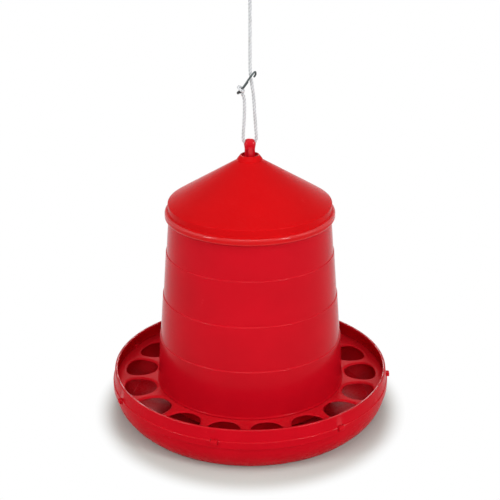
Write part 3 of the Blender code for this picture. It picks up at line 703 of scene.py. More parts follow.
@cache
def slotted_tree() -> NodeTree:
    """Tree that makes a plate with rounded feed openings about the Z axis.

    It starts from a section line whose points hold (share of the rounded rim, share of the flat
    beyond it, height), from the plate's underside round the opening's wall to its top.

    Returns:
        The tree.
    """
    maker = ShapeMaker("Slotted Plate")
    count = maker.count("Openings", 16)
    first = maker.number("First Rib", 0.0)
    inner_edge = maker.number("Inner Edge", 0.12)
    outer_edge = maker.number("Outer Edge", 0.19)
    opening_inner = maker.number("Opening Inner", 0.13)
    opening_outer = maker.number("Opening Outer", 0.17)
    rib_width = maker.number("Rib Width", 0.011)
    rim_width = maker.number("Rounded Rim", 0.004)
    power = maker.number("Corner Power", 2.7)
    flare = maker.number("Flare", 0.1)
    points_round = maker.count("Points Round", 48)
    m = maker.maths

    # A flat grid for one opening's sector: rows follow the section, columns go round the opening.
    rows = maker.shape("AttributeDomainSize", {0: maker.start}, "Point Count")
    last_row = m("SUBTRACT", rows, 1.0)
    grid = maker.shape("MeshGrid", {
        "Size X": last_row, "Size Y": points_round,
        "Vertices X": rows, "Vertices Y": m("ADD", points_round, 1.0)})
    x, y, _ = maker.split(maker.position())
    row = m("ROUND", m("MULTIPLY_ADD", last_row, 0.5, x))
    column = m("ROUND", m("MULTIPLY_ADD", points_round, 0.5, y))
    rim_share, flat_share, height = maker.split(maker.sampled(row))

    # The opening's edge, a superellipse that flares outwards: its radius and angle at each step round.
    eighth = m("DIVIDE", m("MULTIPLY", column, 8.0), points_round)
    angle_round = m("MULTIPLY", eighth, math.pi / 4.0)

    def rounded(value: NodeSocket) -> NodeSocket:
        """One coordinate of the opening's superellipse."""
        return m("MULTIPLY", m("SIGN", value), m("POWER", m("ABSOLUTE", value), m("DIVIDE", 2.0, power)))

    u, v = rounded(m("COSINE", angle_round)), rounded(m("SINE", angle_round))
    middle = m("MULTIPLY", m("ADD", opening_inner, opening_outer), 0.5)
    reach = m("MULTIPLY", m("SUBTRACT", opening_outer, opening_inner), 0.5)
    half_pitch = m("DIVIDE", m("MULTIPLY", middle, math.pi), count)
    half_open = m("SUBTRACT", half_pitch, m("MULTIPLY", rib_width, 0.5))
    half_width = m("MULTIPLY", half_open, m("MULTIPLY_ADD", flare, u, 1.0))
    hole_radius = m("MULTIPLY_ADD", reach, u, middle)
    hole_angle = m("DIVIDE", m("MULTIPLY", half_width, v), middle)

    def limited(value: NodeSocket) -> NodeSocket:
        """A value held between -1 and 1."""
        return m("MINIMUM", m("MAXIMUM", value, -1.0), 1.0)

    # The sector's edge at the same step, and how far the grid's point lies on the way to it.
    ub = limited(m("SUBTRACT", m("ABSOLUTE", m("SUBTRACT", eighth, 4.0)), 2.0))
    wrapped = m("MODULO", m("ADD", eighth, 2.0), 8.0)
    vb = limited(m("SUBTRACT", 2.0, m("ABSOLUTE", m("SUBTRACT", wrapped, 4.0))))
    edge_radius = maker.mixed(m("MULTIPLY_ADD", ub, 0.5, 0.5), inner_edge, outer_edge)
    edge_angle = m("DIVIDE", m("MULTIPLY", vb, math.pi), count)

    sideways = m("MULTIPLY", m("SUBTRACT", edge_angle, hole_angle), middle)
    outwards = m("SUBTRACT", edge_radius, hole_radius)
    distance = m("SQRT", m("ADD", m("MULTIPLY", sideways, sideways), m("MULTIPLY", outwards, outwards)))
    rim = m("MULTIPLY", m("MINIMUM", m("DIVIDE", rim_width, distance), RIM_SHARE), rim_share)
    share = m("MULTIPLY_ADD", m("SUBTRACT", 1.0, rim), flat_share, rim)
    radius = maker.mixed(share, hole_radius, edge_radius)
    angle = maker.mixed(share, hole_angle, edge_angle)
    place = maker.vector(m("MULTIPLY", radius, m("COSINE", angle)),
                         m("MULTIPLY", radius, m("SINE", angle)), height)
    sector = maker.shape("SetPosition", {"Geometry": grid, "Position": place})
    instances = maker.round_axis(sector, count, m("ADD", first, m("DIVIDE", math.pi, count)))
    real = maker.shape("RealizeInstances", {"Geometry": instances})
    return maker.finish(maker.shape("MergeByDistance", {"Geometry": real, "Distance": WELD}))


@cache
def rope_tree() -> NodeTree:
    """Tree that lays twisted strands along a line and keeps where each point lies on its strand.

    It stores "strand", a point's place across and along its strand in strand radii, and "depth", its way
    out from the rope's middle as a share of the rope's radius.

    Returns:
        The tree.
    """
    maker = ShapeMaker("Laid Rope")
    strands = maker.count("Strands", 3)
    strand_radius = maker.number("Strand Radius", 0.001)
    strand_offset = maker.number("Strand Offset", 0.001)
    lay = maker.number("Lay Length", 0.014)
    sides = maker.count("Sides", 12)
    m = maker.maths
    curve = maker.shape("MeshToCurve", {"Mesh": maker.start})
    framed = maker.shape("SetCurveNormal", {"Curve": curve})
    copies = maker.node("GeometryNodeDuplicateElements", {"Geometry": framed, "Amount": strands},
                        domain="SPLINE").outputs
    length = maker.shape("SplineParameter", output="Length")
    turn = m("DIVIDE", copies["Duplicate Index"], strands)
    phase = m("MULTIPLY", m("ADD", turn, m("DIVIDE", length, lay)), 2.0 * math.pi)
    normal = maker.shape("InputNormal")
    across = maker.vectors("CROSS_PRODUCT", maker.shape("InputTangent"), normal)
    outwards = maker.vectors("ADD", maker.scaled(normal, m("COSINE", phase)),
                             maker.scaled(across, m("SINE", phase)))
    centre = maker.captured(copies["Geometry"], {"Centre": maker.position(), "Length": length})
    moved = maker.shape("SetPosition", {
        "Geometry": centre["Geometry"], "Offset": maker.scaled(outwards, strand_offset)})
    circle = maker.shape("CurvePrimitiveCircle", {"Resolution": sides, "Radius": strand_radius})
    spot = maker.captured(circle, {"Spot": maker.position()})
    rope = maker.shape("CurveToMesh", {
        "Curve": moved, "Profile Curve": spot["Geometry"], "Fill Caps": True})
    gap = maker.vectors("DISTANCE", maker.position(), centre["Centre"])
    x, y, _ = maker.split(spot["Spot"])
    strand = maker.vector(*(m("DIVIDE", part, strand_radius) for part in (x, y, centre["Length"])))
    depth = m("DIVIDE", gap, m("ADD", strand_radius, strand_offset))
    for name, value, kind in (("strand", strand, "FLOAT_VECTOR"), ("depth", depth, "FLOAT")):
        rope = maker.shape("StoreNamedAttribute", {"Geometry": rope, "Name": name, "Value": value},
                           data_type=kind, domain="POINT")
    return maker.finish(rope)


@cache
def wire_tree() -> NodeTree:
    """Tree that makes a round wire with rounded ends along a line.

    Returns:
        The tree.
    """
    maker = ShapeMaker("Round Wire")
    radius = maker.number("Wire Radius", 0.001)
    sides = maker.count("Sides", 20)
    m = maker.maths
    curve = maker.shape("MeshToCurve", {"Mesh": maker.start})
    along = maker.shape("SplineParameter", output="Length")
    whole = maker.shape("SplineLength", output="Length")
    nearest = m("MINIMUM", along, m("SUBTRACT", whole, along))
    short = m("MAXIMUM", m("SUBTRACT", 1.0, m("DIVIDE", nearest, radius)), 0.0)
    share = m("SQRT", m("MAXIMUM", m("SUBTRACT", 1.0, m("MULTIPLY", short, short)), 0.0))
    size = m("MAXIMUM", share, TIP_SHARE)
    thick = maker.shape("SetCurveRadius", {"Curve": curve, "Radius": size})
    circle = maker.shape("CurvePrimitiveCircle", {"Resolution": sides, "Radius": radius})
    return maker.finish(maker.shape("CurveToMesh", {
        "Curve": thick, "Profile Curve": circle, "Scale": maker.shape("InputRadius"),
        "Fill Caps": True}))


@cache
def thread_tree() -> NodeTree:
    """Tree that winds a screw thread's ridge up from the line's first point.

    Returns:
        The tree.
    """
    maker = ShapeMaker("Screw Thread")
    foot_radius = maker.number("Foot Radius", 0.002)
    tip_radius = maker.number("Tip Radius", 0.001)
    height = maker.number("Height", 0.012)
    pitch = maker.number("Pitch", 0.0015)
    ridge = maker.number("Ridge", 0.0004)
    spiral = maker.shape("CurveSpiral", {
        "Resolution": 20, "Rotations": maker.maths("DIVIDE", height, pitch),
        "Start Radius": foot_radius, "End Radius": tip_radius, "Height": height})
    bar = maker.shape("CurvePrimitiveCircle", {"Resolution": 6, "Radius": ridge})
    wound = maker.shape("CurveToMesh", {"Curve": spiral, "Profile Curve": bar, "Fill Caps": True})
    return maker.finish(maker.shape("Transform", {
        "Geometry": wound, "Translation": maker.sampled(0)}))


# -------- turned, wire and rope pieces


def turned(name: str, corners: Sequence[Corner], turns: int, material: Material) -> Object:
    """A closed outline turned about the Z axis.

    Args:
        name: its name.
        corners: the outline.
        turns: how many faces go round.
        material: its finish.

    Returns:
        The object.
    """
    outline = [(r, 0.0, z) for r, z in filleted(corners)]
    values = {"Turns": turns, "Finish": material}
    return closed_up(shaped(name, line_mesh(name, outline, closed=True), turned_tree(), values))


def wire(name: str, points: Sequence[Vector], radius: float, sides: int, material: Material) -> Object:
    """A round wire with rounded ends through points in millimetres."""
    values = {"Wire Radius": radius * MM, "Sides": sides, "Finish": material}
    return closed_up(shaped(name, line_mesh(name, eased_ends(points, radius)), wire_tree(), values))


def repeated(name: str, part: Object, count: int, first: float) -> Object:
    """A part repeated at equal angles about the Z axis, from the first angle in radians."""
    return reshaped(name, part, copies_tree(), {"Count": count, "First Angle": first})


@dataclass(frozen=True)
class RopeLay:
    """How a cord's strands lie: all sizes in millimetres."""

    radius: float = 2.25
    strands: int = 3
    lay_length: float = 14.1
    fullness: float = 1.08  # of the strands over ones that just touch
    sides: int = 14

    def strand_radius(self) -> float:
        """Radius of one strand."""
        touching = self.radius / (1.0 + 2.0 / math.sqrt(3.0))
        return touching * self.fullness

    def rope(self, name: str, points: Sequence[Vector], material: Material, closed: bool = False) -> Object:
        """The strands laid along a line.

        Args:
            name: its name.
            points: the line.
            material: the cord's finish.
            closed: whether the line's end joins its start.

        Returns:
            The rope.
        """
        strand = self.strand_radius()
        values = {
            "Strands": self.strands, "Strand Radius": strand * MM,
            "Strand Offset": (self.radius - strand) * MM,
            "Lay Length": self.lay_length * MM, "Sides": self.sides, "Finish": material,
        }
        return closed_up(shaped(name, line_mesh(name, points, closed), rope_tree(), values))


# -------- finishes


@cache
def mould_grain() -> NodeTree:
    """Group: the fine orange-peel and slow flow of moulded plastic, as heights.

    Returns:
        The group's tree.
    """
    maker = TreeMaker("Mould Grain", Kind.SHADER)
    place = maker.input("Coordinates", Socket.VECTOR)
    size = maker.number("Grain Size", 0.0015)
    flow = maker.number("Flow Size", 0.05)
    maker.output("Grain", maker.noise(place, maker.maths("DIVIDE", 1.0, size)))
    maker.output("Flow", maker.noise(place, maker.maths("DIVIDE", 1.0, flow), 3.0, 0.45))
    return maker.tree


@cache
def handling_wear() -> NodeTree:
    """Group: short fine scratches in two directions and cloudy rubbed patches.

    Returns:
        The group's tree.
    """
    maker = TreeMaker("Handling Wear", Kind.SHADER)
    place = maker.input("Coordinates", Socket.VECTOR)
    length = maker.number("Scratch Length", 0.03)
    width = maker.number("Scratch Width", 0.0006)
    m = maker.maths
    stretch = maker.vector(m("DIVIDE", 1.0, length), m("DIVIDE", 1.0, width), m("DIVIDE", 0.12, width))
    directions = []
    for turn, seed in ((0.5, 3.1), (-0.9, 7.7)):
        along = maker.result("ShaderNodeVectorRotate", {
            "Vector": place, "Axis": (0.35, 0.2, 0.9), "Angle": turn}, rotation_type="AXIS_ANGLE")
        spot = maker.vectors("ADD", maker.vectors("MULTIPLY", along, stretch), (seed, seed, seed))
        directions.append(maker.mapped(maker.noise(spot, 1.0, 1.0), 0.66, 0.74))
    patches = maker.mapped(maker.noise(place, m("DIVIDE", 1.3, length), 5.0, 0.62), 0.48, 0.72)
    maker.output("Scratches", m("MULTIPLY", m("MAXIMUM", *directions), patches))
    maker.output("Rubbed", patches)
    return maker.tree


@cache
def settled_dust() -> NodeTree:
    """Group: a thin film of meal dust on what faces upwards, thicker in specks.

    Returns:
        The group's tree.
    """
    maker = TreeMaker("Settled Dust", Kind.SHADER)
    place = maker.input("Coordinates", Socket.VECTOR)
    size = maker.number("Speck Size", 0.004)
    upward = maker.split(maker.result("ShaderNodeNewGeometry", output="Normal"))[2]
    specks = maker.noise(place, maker.maths("DIVIDE", 1.0, size), 6.0, 0.7)
    film = maker.maths("MULTIPLY", maker.mapped(upward, 0.25, 0.95), maker.mapped(specks, 0.42, 0.78))
    maker.output("Film", film)
    return maker.tree


@cache
def strand_fibres() -> NodeTree:
    """Group: yarns twisted round each strand, their fibres, and a mask for painted shade in the groove
    between strands.

    It reads the attributes that the rope's tree stores.

    Returns:
        The group's tree.
    """
    maker = TreeMaker("Strand Fibres", Kind.SHADER)
    yarns = maker.number("Yarns", 7.0)
    twist = maker.number("Twist", 0.9)
    m = maker.maths
    strand = maker.result("ShaderNodeAttribute", output="Vector", attribute_name="strand")
    depth = maker.result("ShaderNodeAttribute", output="Fac", attribute_name="depth")
    x, y, along = maker.split(strand)
    wave = m("SINE", m("MULTIPLY_ADD", m("ARCTAN2", y, x), yarns, m("MULTIPLY", along, twist)))
    maker.output("Yarn", m("MULTIPLY_ADD", wave, 0.5, 0.5))
    maker.output("Fibre", maker.noise(maker.vectors("MULTIPLY", strand, (5.0, 5.0, 0.9)), 1.6, 3.0))
    maker.output("Painted Groove Shade", maker.mapped(depth, 0.95, 0.55))
    return maker.tree


class MaterialMaker(NodeMaker):
    """Fills a new material's tree round its Principled shader."""

    def __init__(self, name: str) -> None:
        """Starts a material, with the piece's own coordinates at hand.

        Args:
            name: the material's name.
        """
        self.material = bpy.data.materials.new(name)
        self.material.use_nodes = True
        super().__init__(self.material.node_tree)
        self.shader = self.tree.nodes["Principled BSDF"]
        self.place = self.result("ShaderNodeTexCoord", output="Object")

    def group(self, tree: NodeTree, inputs: Inputs) -> NodeOutputs:
        """Places a group and gives its outputs by name."""
        return self.node("ShaderNodeGroup", inputs, node_tree=tree).outputs

    def raised(self, *layers: tuple[NodeSocket, float, float]) -> None:
        """Chains Bump nodes into the shader's Normal.

        Args:
            layers: each one's height, strength and distance in millimetres.
        """
        normal = {}
        for height, strength, distance in layers:
            bump = {"Height": height, "Strength": strength, "Distance": distance * MM}
            normal = {"Normal": self.result("ShaderNodeBump", bump | normal)}
        self.feed(self.shader, normal)

    def dressed(self, inputs: Inputs) -> Material:
        """The finished material, its shader fed with these inputs."""
        self.feed(self.shader, inputs)
        return self.material


@dataclass(frozen=True)
class PlasticFinish:
    """Glossy moulded plastic with fine grain, rubbed patches, scratches and a little dust."""

    name: str
    colour: Colour = (0.585, 0.0036, 0.0125)
    deep: Colour = (0.490, 0.0028, 0.0098)
    worn: Colour = (0.720, 0.040, 0.045)
    dust: Colour = (0.46, 0.34, 0.27)
    roughness: float = 0.16
    flow_roughness: float = 0.06
    rubbed_roughness: float = 0.16  # times the wear, as are the scratches' values
    scratch_roughness: float = 0.2
    scratch_paleness: float = 0.5
    scratch_depth: float = 0.12
    dust_roughness: float = 0.8
    specular: float = 0.06
    grain: float = 0.04
    wear: float = 0.35
    dusting: float = 0.015
    edge_polish: float = 0.5  # coat on the edges that hands and hens rub bright
    edge_start: float = 0.508  # how convex an edge has to be, with 0.5 for flat
    edge_full: float = 0.535
    coat_roughness: float = 0.08
    polished: tuple[float, float] = (0.0, 1.0)  # heights between which edges are rubbed, in metres

    def build(self) -> Material:
        """Builds the finish.

        Returns:
            The material.
        """
        make = MaterialMaker(self.name)
        m, place = make.maths, make.place
        grain = make.group(mould_grain(), {"Coordinates": place, "Grain Size": 0.0011, "Flow Size": 0.045})
        wear = make.group(handling_wear(), {
            "Coordinates": place, "Scratch Length": 0.035, "Scratch Width": 0.0007})
        dust = make.group(settled_dust(), {"Coordinates": place, "Speck Size": 0.003})
        body = make.blended(grain["Flow"], self.deep, self.colour)
        marks = m("MULTIPLY", wear["Scratches"], self.scratch_paleness * self.wear)
        film = m("MULTIPLY", dust["Film"], self.dusting)
        matt = m("MULTIPLY_ADD", wear["Rubbed"], self.rubbed_roughness * self.wear, self.roughness)
        matt = m("MULTIPLY_ADD", grain["Flow"], self.flow_roughness, matt)
        matt = m("MULTIPLY_ADD", wear["Scratches"], self.scratch_roughness * self.wear, matt)
        make.raised((grain["Flow"], 0.15, 0.6), (grain["Grain"], self.grain, 0.10),
                    (wear["Scratches"], self.scratch_depth * self.wear, -0.05))
        return make.dressed({
            "Base Color": make.blended(film, make.blended(marks, body, self.worn), self.dust),
            "Roughness": m("MULTIPLY_ADD", film, self.dust_roughness, matt),
            "Specular IOR Level": self.specular,
            "Coat Weight": self.edge_shine(make),
            "Coat Roughness": self.coat_roughness,
        })

    def edge_shine(self, make: MaterialMaker) -> NodeSocket:
        """The coat on rubbed edges, between the two heights of polished.

        Args:
            make: the maker of the material.

        Returns:
            The coat's weight.
        """
        m = make.maths
        edge = make.result("ShaderNodeNewGeometry", output="Pointiness")
        polish = make.mapped(edge, self.edge_start, self.edge_full, self.edge_polish,
                             interpolation_type="SMOOTHSTEP")
        height = make.split(make.place)[2]
        low, high = self.polished
        reached = m("MULTIPLY", m("GREATER_THAN", height, low), m("LESS_THAN", height, high))
        return m("MULTIPLY", polish, reached)


@dataclass(frozen=True)
class MetalFinish:
    """Drawn zinc-coated wire: dull spangle, drawing lines and darker pits."""

    name: str
    colour: Colour = (0.13, 0.155, 0.155)
    dark: Colour = (0.030, 0.038, 0.038)
    roughness: float = 0.26
    flow_roughness: float = 0.25
    rubbed_roughness: float = 0.1
    tarnish: float = 0.5
    pitting: float = 0.6
    spangles: float = 900.0  # in a metre

    def build(self) -> Material:
        """Builds the finish.

        Returns:
            The material.
        """
        make = MaterialMaker(self.name)
        m, place = make.maths, make.place
        grain = make.group(mould_grain(), {"Coordinates": place, "Grain Size": 0.0004, "Flow Size": 0.004})
        wear = make.group(handling_wear(), {
            "Coordinates": place, "Scratch Length": 0.006, "Scratch Width": 0.0002})
        spangle = make.result("ShaderNodeTexVoronoi", {"Vector": place, "Scale": self.spangles}, "Distance")
        coat = make.blended(m("MULTIPLY", grain["Flow"], self.tarnish), self.colour, self.dark)
        pits = m("MULTIPLY", make.mapped(grain["Grain"], 0.60, 0.75), self.pitting)
        matt = m("MULTIPLY_ADD", grain["Flow"], self.flow_roughness, self.roughness)
        make.raised((spangle, 0.10, 0.05), (grain["Grain"], 0.2, 0.03), (wear["Scratches"], 0.3, -0.03))
        return make.dressed({
            "Base Color": make.blended(pits, coat, self.dark),
            "Roughness": m("MULTIPLY_ADD", wear["Rubbed"], self.rubbed_roughness, matt),
            "Metallic": 1.0,
        })


@dataclass(frozen=True)
class CordFinish:
    """White twisted cord: yarns, fibres, painted shade in the grooves and between the yarns, and slight
    soiling.
    """

    name: str
    colour: Colour = (0.70, 0.71, 0.73)
    # colour of the painted shade in the grooves
    groove_painted_shade_colour: Colour = (0.22, 0.23, 0.25)
    soiled: Colour = (0.56, 0.55, 0.52)
    yarns: float = 7.0
    twist: float = 0.9
    soiling: float = 0.5
    soil_spots: float = 70.0  # in a metre
    groove_shade: float = 0.85
    yarn_shade: float = 0.22
    roughness: float = 0.6
    fibre_roughness: float = 0.25

    def build(self) -> Material:
        """Builds the finish.

        Returns:
            The material.
        """
        make = MaterialMaker(self.name)
        m = make.maths
        fibres = make.group(strand_fibres(), {"Yarns": self.yarns, "Twist": self.twist})
        patch = make.mapped(make.noise(make.place, self.soil_spots, 4.0), 0.5, 0.8, self.soiling)
        # painted shade: the cord darkened towards a grey deep in the grooves between strands and between the
        # yarns
        clean = make.blended(patch, self.colour, self.soiled)
        deep = make.blended(m("MULTIPLY", fibres["Painted Groove Shade"], self.groove_shade), clean, self.groove_painted_shade_colour)
        gap = m("MULTIPLY", m("SUBTRACT", 1.0, fibres["Yarn"]), self.yarn_shade)
        make.raised((fibres["Yarn"], 0.5, 0.12), (fibres["Fibre"], 0.4, 0.05))
        return make.dressed({
            "Base Color": make.blended(gap, deep, self.groove_painted_shade_colour),
            "Roughness": m("MULTIPLY_ADD", fibres["Fibre"], self.fibre_roughness, self.roughness),
            "Specular IOR Level": 0.3,
            "Sheen Weight": 0.25,
            "Sheen Roughness": 0.5,
        })


@dataclass(frozen=True)
class FloorFinish:
    """Pale floor that takes the feeder's shadow, darkened further by painted shade near the feeder, fades to
    plain white and is see-through from below.
    """

    name: str = "pale floor"
    colour: Colour = (0.70, 0.725, 0.69)
    painted_shade_tint: Colour = (0.64, 0.79, 0.74)  # painted greener tint where the painted shade falls under the rim, against its red glow
    painted_shade_reach: float = 0.10  # metres within which painted shade darkens the floor's colour
    painted_shade_depth: float = 0.32
    speckles: float = 260.0  # in a metre
    speckle_depth: float = 0.025
    fade_start: float = 0.196  # metres from the axis
    fade_end: float = 0.233
    fade_forward: Place = (0.0, 0.006, 0.0)
    fade_stretch: Place = (1.045, 0.98, 0.0)

    def build(self) -> Material:
        """Builds the finish.

        Returns:
            The material.
        """
        make = MaterialMaker(self.name)
        make.tree.nodes.remove(make.shader)
        m = make.maths
        around_axis = make.vectors("MULTIPLY", make.vectors("ADD", make.place, self.fade_forward),
                                   self.fade_stretch)
        far = make.mapped(make.vectors("LENGTH", around_axis), self.fade_start, self.fade_end,
                          interpolation_type="SMOOTHSTEP")
        speckle = make.noise(make.place, self.speckles)
        open_sky = make.result("ShaderNodeAmbientOcclusion", {"Distance": self.painted_shade_reach}, "AO", samples=16)
        seen = make.seen()
        # painted shade: on seen rays only, the floor is darkened and tinted where the feeder crowds it
        painted_shade = m("MULTIPLY", m("SUBTRACT", 1.0, open_sky), seen)
        speckle_and_painted_shade = m("MULTIPLY", m("MULTIPLY_ADD", speckle, self.speckle_depth, 1.0 - self.speckle_depth / 2.0),
                 m("SUBTRACT", 1.0, m("MULTIPLY", painted_shade, self.painted_shade_depth)))
        floor_painted_shade_colour = make.blended(painted_shade, self.colour, self.painted_shade_tint)
        near = make.result("ShaderNodeBsdfDiffuse", {"Color": make.scaled(floor_painted_shade_colour, speckle_and_painted_shade)})
        white = make.result("ShaderNodeEmission", {"Color": WHITE, "Strength": 1.0})
        above = make.result("ShaderNodeMixShader", {0: m("MULTIPLY", far, seen), 1: near, 2: white})
        below = make.result("ShaderNodeBsdfTransparent")
        under = make.result("ShaderNodeNewGeometry", output="Backfacing")
        both = make.result("ShaderNodeMixShader", {0: under, 1: above, 2: below})
        make.feed(make.tree.nodes["Material Output"], {"Surface": both})
        return make.material


# -------- studio


@dataclass(frozen=True)
class SoftLamp:
    """A square or oblong softbox: place and aim in metres, power in watts."""

    name: str
    place: Place
    width: float
    height: float
    power: float
    aim: Place = (0.0, 0.0, 0.2)
    mirrored: bool = True  # in glossy surfaces

    def build(self) -> None:
        """Hangs the lamp."""
        light = bpy.data.lights.new(self.name, "AREA")
        light.shape = "RECTANGLE"
        light.size, light.size_y = self.width, self.height
        light.energy = self.power
        made = new_object(self.name, light)
        made.location = self.place
        way = Vector(self.aim) - Vector(self.place)
        made.rotation_euler = way.to_track_quat("-Z", "Y").to_euler()
        made.visible_glossy = self.mirrored


@dataclass
class Studio:
    """Camera, lamps, pale floor and the white surroundings."""

    camera_place: Place = (0.0, -1.5, 0.845)
    camera_tilt: float = 67.82  # degrees from looking straight down
    camera_roll: float = -0.12
    lens: float = 85.78
    floor_size: float = 12.0
    floor_drop: float = 0.0002  # under the pan's foot
    world_light: float = 0.04  # of the surroundings on the feeder
    lamps: tuple[SoftLamp, ...] = (
        SoftLamp("overhead softbox", (0.0, -0.75, 1.95), 1.2, 0.8, 10.5),
        SoftLamp("rear softbox", (0.0, 0.95, 1.85), 2.2, 1.6, 5.0),
        SoftLamp("rear fill softbox", (0.0, 1.95, 1.0), 1.0, 0.9, 18.0),
        SoftLamp("front softbox", (0.0, -1.98, 1.16), 0.6, 0.6, 12.0, mirrored=False),
        SoftLamp("left side softbox", (-1.64, -0.14, 1.15), 0.9, 1.3, 4.0),
        SoftLamp("right side softbox", (1.62, -0.29, 1.15), 0.9, 1.3, 5.0),
        SoftLamp("left key softbox", (-1.47, -0.99, 0.95), 0.34, 1.6, 13.5, (0.0, 0.0, 0.25)),
        SoftLamp("right key softbox", (1.28, -1.22, 0.95), 0.38, 1.6, 16.5, (0.0, 0.0, 0.25)),
    )

    def build(self) -> None:
        """Sets the whole studio up."""
        self.set_camera()
        for lamp in self.lamps:
            lamp.build()
        self.set_world()
        self.lay_floor()

    def set_camera(self) -> None:
        """The camera, at the feeder's usual selling view, a little from above."""
        camera = bpy.data.cameras.new("camera")
        camera.lens = self.lens
        camera.sensor_width = 36.0
        camera.clip_start, camera.clip_end = 0.05, 60.0
        made = new_object("camera", camera)
        made.location = self.camera_place
        tilt = Matrix.Rotation(math.radians(self.camera_tilt), 4, "X")
        made.rotation_euler = (tilt @ Matrix.Rotation(math.radians(self.camera_roll), 4, "Z")).to_euler()
        bpy.context.scene.camera = made

    def set_world(self) -> None:
        """White surroundings, dimmer as light than as seen."""
        world = bpy.data.worlds.new("surroundings")
        world.use_nodes = True
        bpy.context.scene.world = world
        bpy.context.scene.view_settings.view_transform = "Standard"
        make = NodeMaker(world.node_tree)
        light = make.tree.nodes["Background"]
        make.feed(light, {"Color": WHITE, "Strength": self.world_light})
        white = make.result("ShaderNodeBackground", {"Color": WHITE, "Strength": 1.0})
        both = make.result("ShaderNodeMixShader", {0: make.seen(), 1: light.outputs[0], 2: white})
        make.feed(make.tree.nodes["World Output"], {"Surface": both})

    def lay_floor(self) -> None:
        """The floor, just under the pan's foot."""
        bm = bmesh.new()
        bmesh.ops.create_grid(bm, x_segments=24, y_segments=24, size=self.floor_size / 2.0)
        mesh = bpy.data.meshes.new("floor")
        bm.to_mesh(mesh)
        bm.free()
        mesh.materials.append(FloorFinish().build())
        floor = new_object("floor", mesh)
        floor.location.z = -self.floor_drop


# -------- cord and its metal pieces


